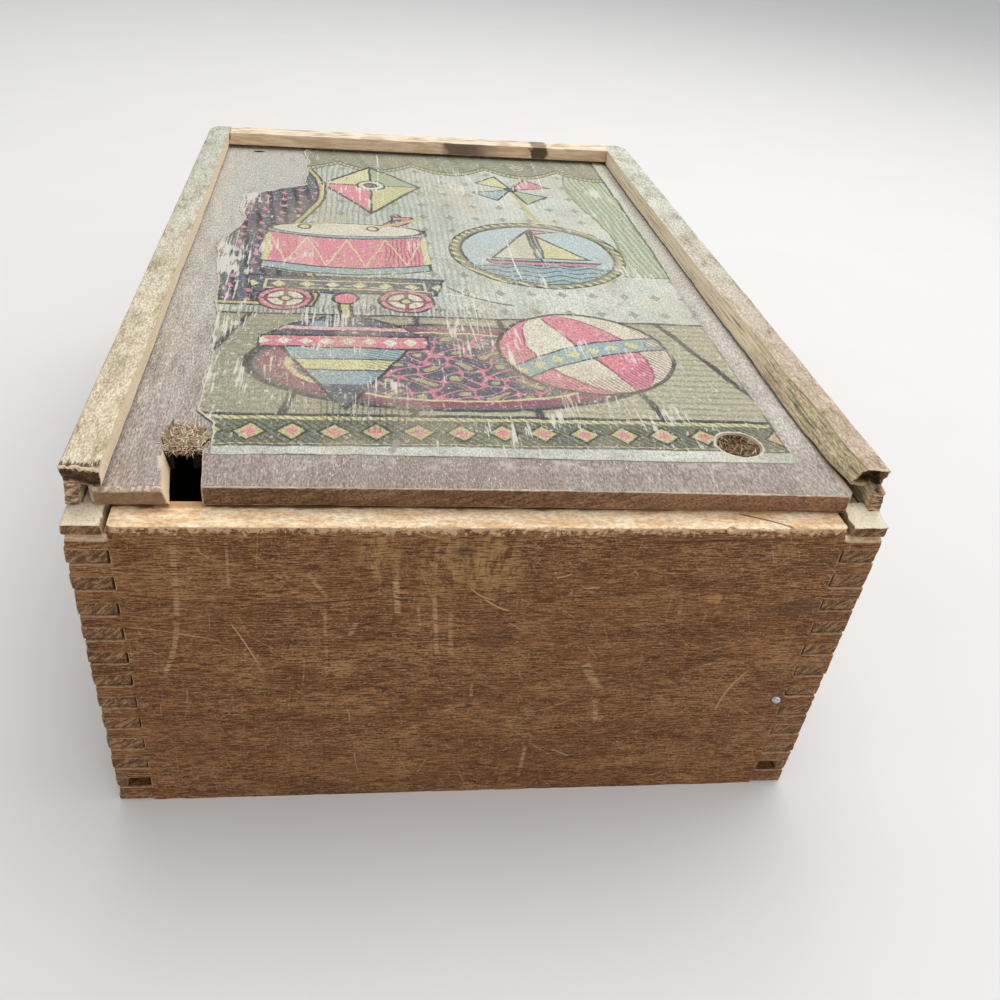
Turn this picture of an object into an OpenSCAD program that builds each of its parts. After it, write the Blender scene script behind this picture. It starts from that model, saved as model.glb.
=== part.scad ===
// Old wooden toy box with a sliding lid.
// Four boards are joined by interlocking fingers, and grooves hold the bottom and the lid.
// Millimetres. +X is to the right, +Y to the back and +Z up. The origin is the middle of the base.

/* [Box] */
// Width over the two side boards
box_w = 200; // [150:1:260]
// Depth over the front and back boards
box_d = 296; // [220:1:380]
// Height of the side boards and of the back board
side_h = 112.4; // [80:0.2:160]
// Thickness of the side boards
side_t = 9.6; // [8.4:0.2:14]
// Thickness of the front and back boards
end_t = 10.4; // [8.4:0.2:14]

/* [Finger joints] */
// Height of one finger
finger_h = 4.13; // [3:0.01:8]
// Height of the part finger at the base of the corners
base_finger_h = 1.73; // [1:0.01:3]
// Gap between neighbouring fingers
finger_gap = 0.1; // [0.04:0.02:0.3]
// How far the finger ends stop short of the outer faces
finger_short = 0.3; // [0.1:0.1:0.8]

/* [Grooves] */
// Depth of the grooves for the lid and for the bottom
groove_depth = 6.4; // [4:0.1:7]
// Thickness of the lip above the lid's groove
lip_t = 5.4; // [4:0.1:9]
// Height of the bottom's groove above the base
bottom_groove_z = 6; // [4:0.1:14]
// Length of lip and web broken away at each upper front corner
corner_break = 8.6; // [4:0.1:10]

/* [Bottom] */
// Thickness of the bottom board
bottom_t = 3.4; // [2.4:0.1:6]
// Clearance round the edges of the bottom board in its grooves
bottom_fit = 0.2; // [0.1:0.1:0.6]

/* [Lid] */
// Thickness of the lid
lid_t = 5.6; // [4:0.1:8]
// Gap under the lid where it lies on the groove's floor
lid_lift = 0.3; // [0.2:0.1:1]
// Free height above the lid in its groove
lid_headroom = 1.6; // [0.6:0.1:3]
// Free width of the shrunken lid between its two grooves
lid_play = 4.6; // [3.2:0.1:6]
// How far the lid lies to the left of the middle
lid_shift = 1.3; // [0:0.1:1.4]
// How far the lid's front edge lies behind the front face
lid_setback = 8; // [6.5:0.1:14]
// How much nearer the front the lid's right end is
lid_skew = 1.8; // [0:0.1:3]
// Gap between the lid's back edge and the end of its groove
lid_stop_gap = 0.4; // [0.2:0.1:1.5]
// Worn corners at the lid's front edge
lid_corner = 2.2; // [1:0.1:5]

/* [Peg holes] */
// Diameter of the two peg holes in the lid
peg_hole_d = 11.6; // [8:0.1:16]
// Distance from the lid's left edge to the middle of the left hole
left_peg_inset = 20.2; // [14:0.1:40]
// Distance from the lid's right edge to the middle of the right hole
right_peg_inset = 23.8; // [14:0.1:40]
// Distance from the front face of the box to the middle of the holes
peg_inset = 29.2; // [24:0.1:50]
// Clearance round the broken pegs that are left in the holes
peg_fit = 0.05; // [0.02:0.01:0.1]
// Depth of the right peg's broken end below the lid's top
right_break = 1.8; // [0.5:0.1:3]
// Depth of the left peg's broken end below the lid's top
left_break = 1; // [0.5:0.1:3]
// Width of the broken slot at the lid's front edge
slot_front_w = 8.5; // [6:0.1:11]
// Width of the broken slot where it meets the left peg hole
slot_back_w = 9.6; // [6:0.1:11]
// How much further right the slot's mouth lies than the left peg hole
slot_lean = 2.3; // [0:0.1:4]
// How far the slot reaches into the left peg hole
slot_bite = 0.4; // [0.2:0.1:3]

/* [Paper print] */
// Thickness of the paper pasted on the lid
paper_t = 0.25; // [0.1:0.05:0.5]
// Bare margin along the lid's right edge
paper_right = 6.5; // [4:0.1:20]
// Bare margin along the lid's front edge
paper_front = 13.4; // [8:0.1:18]
// Bare margin along the lid's left edge
paper_left = 14; // [8:0.1:24]
// Bare margin along the lid's back edge
paper_back = 9; // [7:0.1:24]
// How far the paper's right edge leans in towards the front
paper_lean = 4; // [0:0.5:8]
// Width of the torn back left corner of the paper
tear_w = 27; // [10:1:60]
// Length of the torn back left corner of the paper
tear_l = 54; // [20:1:80]
// Length over which the torn edge runs back out to the left edge
tear_run = 20; // [5:1:30]
// How far the paper's left edge is worn in towards the front
wear_w = 7; // [2:0.5:12]
// Length of that worn left edge
wear_l = 70; // [40:1:100]
// Length over which the worn edge runs in
wear_run = 50; // [10:1:60]
// Bare wood between the left peg hole and the paper beside it
paper_clear = 2; // [1:0.1:4]

/* [Brad] */
// Diameter of the brad's shank
brad_d = 1.4; // [1:0.1:2.2]
// Diameter of the brad's head
brad_head_d = 2.9; // [2.3:0.1:4]
// Thickness of the brad's head
brad_head_t = 0.6; // [0.4:0.1:1]
// Length of the brad under its head
brad_l = 17; // [13:0.5:18]
// Slant of the brad towards the side board, in degrees
brad_slant = 17; // [12:1:20]
// How far the brad's head lies inside the side board's inner face
brad_inset = 2.1; // [1.6:0.1:2.6]
// Which front finger the brad is driven through, counted from the base
brad_finger = 4; // [2:1:8]
// Depth of the brad's head below the front face
brad_sink = 0.5; // [0.5:0.1:0.9]
// Clearance round the brad in the wood
brad_fit = 0.03; // [0.02:0.01:0.06]

/* [Hidden] */
$fn = 48;

// A cut runs this far past the face that it opens
past = 1;

half_w = box_w / 2;
half_d = box_d / 2;

// The wood left outside a groove
side_web = side_t - groove_depth;
end_web = end_t - groove_depth;

bottom_groove_h = bottom_t + 2 * bottom_fit;
lid_groove_h = lid_lift + lid_t + lid_headroom;
// The groove's floor is level with the top of the front board, which the lid slides over
groove_floor = side_h - lip_t - lid_groove_h;

lid_bottom = groove_floor + lid_lift;
lid_top = lid_bottom + lid_t;
lid_w = box_w - 2 * side_web - lid_play;
lid_x0 = -lid_w / 2 - lid_shift;
lid_x1 = lid_w / 2 - lid_shift;
lid_y0 = -half_d + lid_setback;
lid_y1 = half_d - end_web - lid_stop_gap;

peg_y = -half_d + peg_inset;
left_peg_x = lid_x0 + left_peg_inset;
right_peg_x = lid_x1 - right_peg_inset;
slot_end_y = peg_y - peg_hole_d / 2 + slot_bite;

brad_x = half_w - side_t - brad_inset;
brad_z = base_finger_h + (2 * brad_finger + 0.5) * finger_h;

side_wood = [0.74, 0.67, 0.52];
end_wood = [0.50, 0.36, 0.21];
bottom_wood = [0.62, 0.50, 0.33];
lid_wood = [0.62, 0.57, 0.50];
paper = [0.72, 0.72, 0.66];
torn_wood = [0.42, 0.27, 0.15];
steel = [0.62, 0.62, 0.64];

// Heights of the fingers' lower edges in one corner: start is 0 for the boards with a finger
// above the part finger, and 1 for the boards with the part finger itself
function finger_zs(start, height) =
    [for (z = base_finger_h + start * finger_h; z < height; z = z + 2 * finger_h) z];

// Cuts the slots between a board's fingers, seen along the wall that they are cut through.
// Each slot is as deep as the mating board is thick
module finger_slots(start, height, depth, through) {
    for (z = finger_zs(start, height))
        translate([-past, -past, z - finger_gap / 2])
            cube([through + 2 * past, depth + finger_gap + past, finger_h + finger_gap]);
    if (start == 1)
        translate([-past, -past, -past])
            cube([through + 2 * past, depth + finger_gap + past,
                base_finger_h + finger_gap / 2 + past]);
}

// A side board lying along Y with its outer face at x = 0 and its front end at y = 0
module side_board() {
    difference() {
        translate([0, finger_short, 0])
            cube([side_t, box_d - 2 * finger_short, side_h]);
        finger_slots(0, groove_floor, end_t, side_t);
        translate([0, box_d, 0])
            mirror([0, 1, 0])
                finger_slots(1, side_h, end_t, side_t);
        // Lid groove
        translate([side_web, -past, groove_floor])
            cube([side_t, box_d + 2 * past, lid_groove_h]);
        // Bottom groove
        translate([side_web, -past, bottom_groove_z])
            cube([side_t, box_d + 2 * past, bottom_groove_h]);
        // Broken upper front corner
        translate([-past, -past, groove_floor])
            cube([side_t + 2 * past, corner_break + past, side_h]);
    }
}

// An end board lying along X with its outer face at y = 0 and its left end at x = 0
module end_board(start, height) {
    difference() {
        translate([finger_short, 0, 0])
            cube([box_w - 2 * finger_short, end_t, height]);
        translate([box_w, 0, 0])
            rotate([0, 0, 90])
                finger_slots(start, height, side_t, end_t);
        translate([0, end_t, 0])
            rotate([0, 0, -90])
                finger_slots(start, height, side_t, end_t);
        // Bottom groove
        translate([-past, end_web, bottom_groove_z])
            cube([box_w + 2 * past, end_t, bottom_groove_h]);
    }
}

// The brad's own outline turned round its axis, grown by fit for its hole
module brad_shape(fit, length) {
    translate([brad_x, -half_d + brad_sink, brad_z])
        rotate([-90, 0, -brad_slant]) {
            cylinder(h = length, r = brad_d / 2 + fit);
            cylinder(h = brad_head_t + fit, r = brad_head_d / 2 + fit);
        }
}

// The clearance for the brad, with the dent that its sunk head left in the face
module brad_hole() {
    brad_shape(brad_fit, brad_l + brad_fit);
    translate([brad_x, -half_d + brad_sink, brad_z])
        rotate([-90, 0, -brad_slant])
            translate([0, 0, -past - brad_sink])
                cylinder(h = past + brad_sink + brad_head_t, r = brad_head_d / 2 + brad_fit);
}

module left_side() {
    color(side_wood)
        translate([-half_w, -half_d, 0])
            side_board();
}

module right_side() {
    color(side_wood)
        difference() {
            translate([half_w, -half_d, 0])
                mirror([1, 0, 0])
                    side_board();
            brad_hole();
        }
}

module front_board() {
    color(end_wood)
        difference() {
            translate([-half_w, -half_d, 0])
                end_board(1, groove_floor);
            brad_hole();
        }
}

module back_board() {
    color(end_wood)
        difference() {
            translate([-half_w, half_d, 0])
                mirror([0, 1, 0])
                    end_board(0, side_h);
            // Lid groove, open to the front
            translate([-half_w - past, half_d - end_t - past, groove_floor])
                cube([box_w + 2 * past, groove_depth + past, lid_groove_h]);
        }
}

module bottom_board() {
    w = box_w - 2 * side_web - 2 * bottom_fit;
    d = box_d - 2 * end_web - 2 * bottom_fit;
    color(bottom_wood)
        translate([-w / 2, -d / 2, bottom_groove_z + bottom_fit])
            cube([w, d, bottom_t]);
}

// Outline of the lid, with its skewed front edge and worn front corners
module lid_outline() {
    polygon([
        [lid_x0, lid_y1],
        [lid_x0, lid_y0 + lid_corner],
        [lid_x0 + lid_corner, lid_y0],
        [lid_x1 - lid_corner, lid_y0 - lid_skew],
        [lid_x1, lid_y0 - lid_skew + lid_corner],
        [lid_x1, lid_y1]
    ]);
}

// The slot where wood has split away between the left peg hole and the front edge
module slot_outline() {
    mouth_x = left_peg_x + slot_lean;
    mouth_y = lid_y0 - lid_skew - past;
    polygon([
        [mouth_x - slot_front_w / 2, mouth_y],
        [mouth_x + slot_front_w / 2, mouth_y],
        [left_peg_x + slot_back_w / 2, slot_end_y],
        [left_peg_x - slot_back_w / 2, slot_end_y]
    ]);
}

module peg_holes_outline() {
    for (x = [left_peg_x, right_peg_x])
        translate([x, peg_y])
            circle(d = peg_hole_d);
}

module lid() {
    color(lid_wood)
        difference() {
            translate([0, 0, lid_bottom])
                linear_extrude(lid_t)
                    difference() {
                        lid_outline();
                        slot_outline();
                    }
            for (x = [left_peg_x, right_peg_x])
                translate([x, peg_y, lid_bottom - past])
                    cylinder(h = lid_t + 2 * past, d = peg_hole_d);
        }
}

// What is left of the paper: a sheet with a torn back left corner and a ragged left edge
module paper_outline() {
    x0 = lid_x0 + paper_left;
    x1 = lid_x1 - paper_right;
    y0 = lid_y0 + paper_front;
    y1 = lid_y1 - paper_back;
    polygon([
        [left_peg_x + peg_hole_d / 2 + paper_clear, y0],
        [x1 - paper_lean, y0],
        [x1, y1],
        [x0 + tear_w, y1],
        [x0 + tear_w, y1 - tear_l],
        [x0, y1 - tear_l - tear_run],
        [x0, y0 + wear_l + wear_run],
        [x0 + wear_w, y0 + wear_l],
        [x0 + wear_w, peg_y + peg_hole_d / 2 + paper_clear]
    ]);
}

module lid_print() {
    color(paper)
        translate([0, 0, lid_top])
            linear_extrude(paper_t)
                difference() {
                    paper_outline();
                    slot_outline();
                    peg_holes_outline();
                }
}

module left_peg_stub() {
    color(torn_wood)
        difference() {
            translate([left_peg_x, peg_y, lid_bottom])
                cylinder(h = lid_t - left_break, d = peg_hole_d - 2 * peg_fit);
            // The front of this stub went with the wood of the slot
            translate([left_peg_x - peg_hole_d, slot_end_y - peg_hole_d, lid_bottom - past])
                cube([2 * peg_hole_d, peg_hole_d, lid_t + 2 * past]);
        }
}

module right_peg_stub() {
    color(torn_wood)
        translate([right_peg_x, peg_y, lid_bottom])
            cylinder(h = lid_t - right_break, d = peg_hole_d - 2 * peg_fit);
}

module corner_brad() {
    color(steel)
        brad_shape(0, brad_l);
}

left_side();
right_side();
front_board();
back_board();
bottom_board();
lid();
lid_print();
left_peg_stub();
right_peg_stub();
corner_brad();
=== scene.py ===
"""The looks of an old wooden toy box with a sliding lid: worn boards, a torn print and broken pegs."""
import functools
import itertools
import math

import bmesh
import bpy
import numpy as np
from mathutils import Matrix, Vector
from mathutils.geometry import delaunay_2d_cdt


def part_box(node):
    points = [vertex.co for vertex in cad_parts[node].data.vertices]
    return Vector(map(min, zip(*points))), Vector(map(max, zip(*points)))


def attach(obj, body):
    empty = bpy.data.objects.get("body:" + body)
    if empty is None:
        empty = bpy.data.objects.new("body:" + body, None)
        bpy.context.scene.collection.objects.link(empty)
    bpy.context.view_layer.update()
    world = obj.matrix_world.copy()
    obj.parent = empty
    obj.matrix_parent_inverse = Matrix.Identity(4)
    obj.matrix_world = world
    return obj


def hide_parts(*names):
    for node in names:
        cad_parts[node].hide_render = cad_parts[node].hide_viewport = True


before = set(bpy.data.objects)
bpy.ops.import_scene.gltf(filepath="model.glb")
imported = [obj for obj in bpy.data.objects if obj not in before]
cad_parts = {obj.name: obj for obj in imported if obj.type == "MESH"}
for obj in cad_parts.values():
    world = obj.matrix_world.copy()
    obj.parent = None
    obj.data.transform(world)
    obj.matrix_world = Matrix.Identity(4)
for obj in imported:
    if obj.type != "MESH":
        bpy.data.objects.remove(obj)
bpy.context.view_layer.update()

# All lengths below are millimetres in the box's own frame, and METRE turns them into Blender's
METRE = 0.001


def extent(node):
    """The lowest and highest corner of a node's solid."""
    low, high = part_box(node)
    return np.array(low) / METRE, np.array(high) / METRE


LEFT_LOW, LEFT_HIGH = extent("left_side")
RIGHT_HIGH = extent("right_side")[1]
FRONT_LOW, FRONT_HIGH = extent("front_board")
LID_LOW, LID_HIGH = extent("lid")
LEFT_STUB_LOW, LEFT_STUB_HIGH = extent("left_peg_stub")
RIGHT_STUB_LOW, RIGHT_STUB_HIGH = extent("right_peg_stub")
BRAD_LOW, BRAD_HIGH = extent("corner_brad")

HALF_W = RIGHT_HIGH[0]
HALF_D = -FRONT_LOW[1]
SIDE_H = LEFT_HIGH[2]
SIDE_T = LEFT_HIGH[0] - LEFT_LOW[0]
END_T = FRONT_HIGH[1] - FRONT_LOW[1]
# The front board ends level with the floor of the lid's groove
LEDGE = FRONT_HIGH[2]
# Depth of the groove in a side board, and the wood left outside it
GROOVE = 6.4
WEB = SIDE_T - GROOVE
# The lip over that groove, and how far back its front corner has broken away
LIP_T = 5.4
LIP_UNDER = SIDE_H - LIP_T
CORNER_BREAK = 8.6
# Heights of a finger and of the part finger at the base
FINGER = 4.13
BASE_FINGER = 1.73
# How far the sides have sprung outwards in front
SPLAY = 0.8
# The lid's left front corner lies this far behind the front of the box
LID_SETBACK = 8
PEG_R = (RIGHT_STUB_HIGH[0] - RIGHT_STUB_LOW[0]) / 2
LEFT_PEG = ((LEFT_STUB_LOW[0] + LEFT_STUB_HIGH[0]) / 2, LEFT_STUB_HIGH[1] - PEG_R)
RIGHT_PEG = ((RIGHT_STUB_LOW[0] + RIGHT_STUB_HIGH[0]) / 2, RIGHT_STUB_HIGH[1] - PEG_R)
BRAD_R = 1.45
BRAD_SLANT = math.radians(17)
# The wear of an edge is measured against this much rounding, and reads as bare from this depth on
ROUNDING = 1.6
BARE_DEPTH = 0.4


def smooth_step(low, high, value):
    part = np.clip((value - low) / (high - low), 0, 1)
    return part * part * (3 - 2 * part)


def lumps(points, seed):
    """Smooth noise from -1 to 1 at each row of points, with cells one unit wide."""
    cell = np.floor(points).astype(np.int64)
    part = points - cell
    part = part * part * (3 - 2 * part)
    total = np.zeros(len(points))
    for corner in itertools.product((0, 1), repeat=3):
        key = (cell + corner) @ np.array([73856093, 19349663, 83492791]) + seed * 6542989
        key = (key ^ (key >> 15)) * 2246822519 & 0xFFFFFFFF
        key = (key ^ (key >> 13)) * 3266489917 & 0xFFFFFFFF
        weight = np.prod(np.where(corner, part, 1 - part), axis=1)
        total += weight * ((key ^ (key >> 16)) & 0xFFFF) / 0xFFFF
    return 2 * total - 1


def roughness_of(points, cell, seed, octaves=3):
    """Several sizes of lumps added up: cell is the size of the largest along X, Y and Z."""
    scaled = points / np.array(cell, float)
    return sum(lumps(scaled * 2**k, seed + k) / 2**k for k in range(octaves)) / (2 - 0.5 ** (octaves - 1))


def run_of(x, cell, seed, octaves=3):
    """The same noise along one line of places."""
    stations = np.arange(x.min() - cell, x.max() + cell, cell / 2 ** (octaves + 1))
    points = np.stack([stations, np.full_like(stations, seed * 3.7), np.full_like(stations, 0.5)], axis=1)
    return np.interp(x, stations, roughness_of(points, (cell, 1, 1), seed, octaves))


def relaxed(places, edges, rounds):
    """Moves each point to the middle of its neighbours, again and again, which rounds the edges."""
    n = len(places)
    count = np.bincount(edges.ravel(), minlength=n)[:, None]
    for _ in range(rounds):
        total = np.empty_like(places)
        for axis in range(3):
            total[:, axis] = np.bincount(edges[:, 0], places[edges[:, 1], axis], n)
            total[:, axis] += np.bincount(edges[:, 1], places[edges[:, 0], axis], n)
        places = total / count
    return places


def planed(places, first, second, size):
    """Takes an arris off to a given size. Each face is its axis, its place and the way out of the wood."""
    (a, at_a, out_a), (b, at_b, out_b) = first, second
    over = (places[:, a] - at_a) * out_a + (places[:, b] - at_b) * out_b + size
    cut = np.maximum(over, 0) / 2
    places[:, a] -= out_a * cut
    places[:, b] -= out_b * cut
    return cut


def evaluated(mesh, *modifiers):
    """The mesh that a stack of modifiers makes of another mesh."""
    worker = bpy.data.objects.new("worker", mesh)
    bpy.context.scene.collection.objects.link(worker)
    for kind, settings in modifiers:
        made = worker.modifiers.new(kind, kind)
        for key, value in settings.items():
            setattr(made, key, value)
    bpy.context.view_layer.update()
    result = bpy.data.meshes.new_from_object(
        worker.evaluated_get(bpy.context.evaluated_depsgraph_get())
    )
    bpy.data.objects.remove(worker)
    return result


def read_places(mesh):
    flat = np.empty(len(mesh.vertices) * 3, np.float32)
    mesh.vertices.foreach_get("co", flat)
    return flat.reshape(-1, 3).astype(float) / METRE


def write_places(mesh, places):
    mesh.vertices.foreach_set("co", (places * METRE).astype(np.float32).ravel())
    mesh.update()


def read_edges(mesh):
    flat = np.empty(len(mesh.edges) * 2, np.int32)
    mesh.edges.foreach_get("vertices", flat)
    return flat.reshape(-1, 2)


def read_normals(mesh):
    flat = np.empty(len(mesh.vertices) * 3, np.float32)
    mesh.vertex_normals.foreach_get("vector", flat)
    return flat.reshape(-1, 3).astype(float)


def write_values(mesh, name, values):
    layer = mesh.attributes.new(name, "FLOAT", "POINT")
    layer.data.foreach_set("value", np.asarray(values, np.float32))


def welded(node):
    """A node's own mesh with its split corners joined again."""
    work = bmesh.new()
    work.from_mesh(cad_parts[node].data)
    bmesh.ops.remove_doubles(work, verts=work.verts, dist=1e-6)
    mesh = bpy.data.meshes.new(node)
    work.to_mesh(mesh)
    work.free()
    return mesh


def aged(node, cell, keep, seed, reshape, wear=0.35):
    """A board as wear has left it: its solid remeshed finely, its edges rounded in patches, then reshaped.

    relief is 1 on a bare outer edge and -1 in a hollow, and raw is 1 where the wood is broken.
    """
    low, high = extent(node)
    cells = (high - low).max() / cell
    depth = math.ceil(math.log2(cells / 0.99))
    grid = {
        "mode": "SHARP", "octree_depth": depth, "scale": cells / 2**depth, "use_remove_disconnected": False
    }
    fine = evaluated(welded(node), ("REMESH", grid))
    places = read_places(fine)
    edges = read_edges(fine)
    normals = read_normals(fine)
    rounded = relaxed(places, edges, round(ROUNDING / cell**2))
    relief = np.clip(((places - rounded) * normals).sum(axis=1) / BARE_DEPTH, -1, 1)
    patches = smooth_step(-0.1, 0.7, roughness_of(places, (7, 7, 5), seed))
    rubbed = np.clip(wear * (0.35 + patches), 0, 1)[:, None]
    places = places + (rounded - places) * rubbed
    places += normals * (0.05 * roughness_of(places, (24, 24, 10), seed + 5, 2))[:, None]
    places, raw = reshape(places, normals)
    write_places(fine, places)
    write_values(fine, "relief", relief)
    write_values(fine, "raw", raw)
    mesh = evaluated(fine, ("DECIMATE", {"ratio": keep}))
    mesh.shade_smooth()
    mesh.set_sharp_from_angle(angle=math.radians(50))
    return evaluated(mesh, ("WEIGHTED_NORMAL", {"keep_sharp": True, "weight": 60}))


def piece(name, mesh, body, slot, finish, *nodes):
    """A piece of the box in its place: it rides on a body and stands for the nodes that it replaces."""
    made = bpy.data.objects.new(name, mesh)
    bpy.context.scene.collection.objects.link(made)
    mesh.materials.clear()
    mesh.materials.append(finish)
    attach(made, body)
    if nodes:
        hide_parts(*nodes)
    return made


class Value:
    """One output of a material's nodes. An expression on values adds the Math nodes that work it out."""

    def __init__(self, finish, socket):
        self.finish = finish
        self.socket = socket

    def math(self, operation, *terms):
        return self.finish.node("ShaderNodeMath", {"operation": operation}, dict(enumerate(terms)))

    def __add__(self, other):
        return self.math("ADD", self, other)

    def __radd__(self, other):
        return self.math("ADD", other, self)

    def __sub__(self, other):
        return self.math("SUBTRACT", self, other)

    def __rsub__(self, other):
        return self.math("SUBTRACT", other, self)

    def __mul__(self, other):
        return self.math("MULTIPLY", self, other)

    def __rmul__(self, other):
        return self.math("MULTIPLY", other, self)

    def __truediv__(self, other):
        return self.math("DIVIDE", self, other)

    def __neg__(self):
        return self.math("MULTIPLY", self, -1)

    def __abs__(self):
        return self.math("ABSOLUTE", self)

    def __mod__(self, other):
        return self.math("FLOORED_MODULO", self, other)

    def under(self, other):
        return self.math("MINIMUM", self, other)

    def over(self, other):
        return self.math("MAXIMUM", self, other)

    def sine(self):
        return self.math("SINE", self)

    def root(self):
        return self.math("SQRT", self)

    def rise(self, low, high):
        """0 below low, 1 above high and a smooth step between them. It falls where high is the smaller."""
        settings = {"interpolation_type": "SMOOTHSTEP"}
        if low < high:
            return self.finish.node("ShaderNodeMapRange", settings, {0: self, 1: low, 2: high})
        return self.finish.node("ShaderNodeMapRange", settings, {0: self, 1: high, 2: low, 3: 1.0, 4: 0.0})


class Finish:
    """A material, with its nodes added one call at a time."""

    def __init__(self, name):
        self.material = bpy.data.materials.new(name)
        self.material.use_nodes = True
        self.tree = self.material.node_tree
        self.tree.nodes.clear()
        self.here = self.node("ShaderNodeTexCoord", out="Object")
        self.place = self.scaled(self.here, (1 / METRE,) * 3)
        self.facing = self.node("ShaderNodeTexCoord", out="Normal")
        self.x, self.y, self.z = self.parts(self.place)
        self.on_front = self.vector(self.x, self.z, 1.0)
        self.on_top = self.vector(self.x, self.y, 1.0)
        self.face_x, self.face_y, self.face_z = self.parts(self.facing)

    def node(self, kind, settings=None, sockets=None, out=0):
        """Adds one node: its settings first, then the value or the link of each socket that is named."""
        made = self.tree.nodes.new(kind)
        for key, value in (settings or {}).items():
            if key == "stops":
                self.set_stops(made.color_ramp.elements, value)
            else:
                setattr(made, key, value)
        for key, value in (sockets or {}).items():
            if isinstance(value, Value):
                self.tree.links.new(value.socket, made.inputs[key])
            else:
                made.inputs[key].default_value = value
        return Value(self, made.outputs[out])

    @staticmethod
    def set_stops(elements, stops):
        while len(elements) < len(stops):
            elements.new(1)
        for element, (place, colour) in zip(elements, stops):
            element.position = place
            element.color = (*colour, 1)

    def parts(self, vector):
        split = self.node("ShaderNodeSeparateXYZ", None, {0: vector})
        return tuple(Value(self, split.socket.node.outputs[k]) for k in range(3))

    def vector(self, x, y, z):
        return self.node("ShaderNodeCombineXYZ", None, {0: x, 1: y, 2: z})

    def scaled(self, vector, scale):
        return self.node("ShaderNodeVectorMath", {"operation": "MULTIPLY"}, {0: vector, 1: scale})

    def shifted(self, vector, by):
        return self.node("ShaderNodeVectorMath", {"operation": "ADD"}, {0: vector, 1: by})

    def turned(self, vector, axis, degrees):
        """The vector turned round an axis, for marks that lie aslant."""
        settings = {"rotation_type": f"{axis}_AXIS"}
        return self.node(
            "ShaderNodeVectorRotate", settings, {"Vector": vector, "Angle": math.radians(degrees)}
        )

    def noise(self, vector, detail=2.0, rough=0.5, warp=0.0):
        sockets = {"Vector": vector, "Scale": 1.0, "Detail": detail, "Roughness": rough, "Distortion": warp}
        return self.node("ShaderNodeTexNoise", None, sockets)

    def grain(self, cell, detail=2.0, warp=0.0, rough=0.5, shift=(0, 0, 0)):
        """Noise whose cells have the given size along X, Y and Z."""
        spread = self.scaled(self.place, tuple(1 / c for c in cell))
        if any(shift):
            spread = self.shifted(spread, shift)
        return self.noise(spread, detail, rough, warp)

    def mixed(self, factor, first, second, blend="MIX"):
        """Two colours mixed. Either may be one colour all over, or vary over the surface."""
        sockets = {0: factor, 6: self.colour(first), 7: self.colour(second)}
        settings = {"data_type": "RGBA", "blend_type": blend, "clamp_factor": True}
        return self.node("ShaderNodeMix", settings, sockets, out=2)

    @staticmethod
    def colour(value):
        return value if isinstance(value, Value) else (*value, 1)

    def mottled(self, colour, cell, low, high, shift=(0, 0, 0)):
        """A colour broken up by fine noise, which scales it from low to high times its own."""
        fine = self.grain(cell, 2, rough=0.7, shift=shift).rise(0.34, 0.66)
        return self.mixed(1.0, colour, fine * (high - low) + low, "MULTIPLY")

    def ramp(self, value, *stops):
        return self.node("ShaderNodeValToRGB", {"stops": stops}, {0: value})

    def level(self, spot, across, up, start):
        """How far a spot lies beyond a straight line, where across and up are the line's own normal."""
        sockets = {0: spot, 1: (across, up, -start)}
        return self.node("ShaderNodeVectorMath", {"operation": "DOT_PRODUCT"}, sockets, out="Value")

    def stroke(self, spot, start, end, width, bow=0.0):
        """A thin line between two spots. bow is how far its middle strays to the left of straight."""
        run, rise = end[0] - start[0], end[1] - start[1]
        half = math.hypot(run, rise) / 2
        ahead, aside = run / half / 2, rise / half / 2
        middle = ((start[0] + end[0]) / 2, (start[1] + end[1]) / 2)
        along = self.level(spot, ahead, aside, ahead * middle[0] + aside * middle[1])
        across = self.level(spot, -aside, ahead, ahead * middle[1] - aside * middle[0] + bow)
        if bow:
            across = across + along * along * (bow / half**2)
        return abs(across).rise(width, width * 0.35) * abs(along).rise(half, half * 0.75)

    def read(self, name):
        """A value that the mesh itself carries, such as how far an edge stands out."""
        return self.node("ShaderNodeAttribute", {"attribute_name": name}, None, out="Fac")

    def bump(self, height, depth, strength=1.0):
        """A normal from a height of 0 to 1 that stands for depth millimetres."""
        sockets = {"Height": height, "Strength": strength, "Distance": depth * METRE}
        return self.node("ShaderNodeBump", None, sockets)

    def surface(self, **sockets):
        """Closes the material with its shader and returns it."""
        named = {key.replace("_", " "): value for key, value in sockets.items()}
        if "Base Color" in named:
            named["Base Color"] = self.colour(named["Base Color"])
        shader = self.node("ShaderNodeBsdfPrincipled", None, named)
        closing = self.tree.nodes.new("ShaderNodeOutputMaterial")
        self.tree.links.new(shader.socket, closing.inputs["Surface"])
        return self.material


def strongest(values):
    """Marks laid over each other: the strongest one shows."""
    return functools.reduce(Value.over, values)


# The camera, fitted to the edges of the box with a small shift, so that other views show all of it
CAMERA_PLACE = (-34.92, -325.38, 234.80)
CAMERA_PITCH = 35.758
CAMERA_YAW = -7.995
CAMERA_ROLL = 5.022
CAMERA_LENS = 33.906
CAMERA_SHIFT = (0.045, 0.0068)


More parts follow.
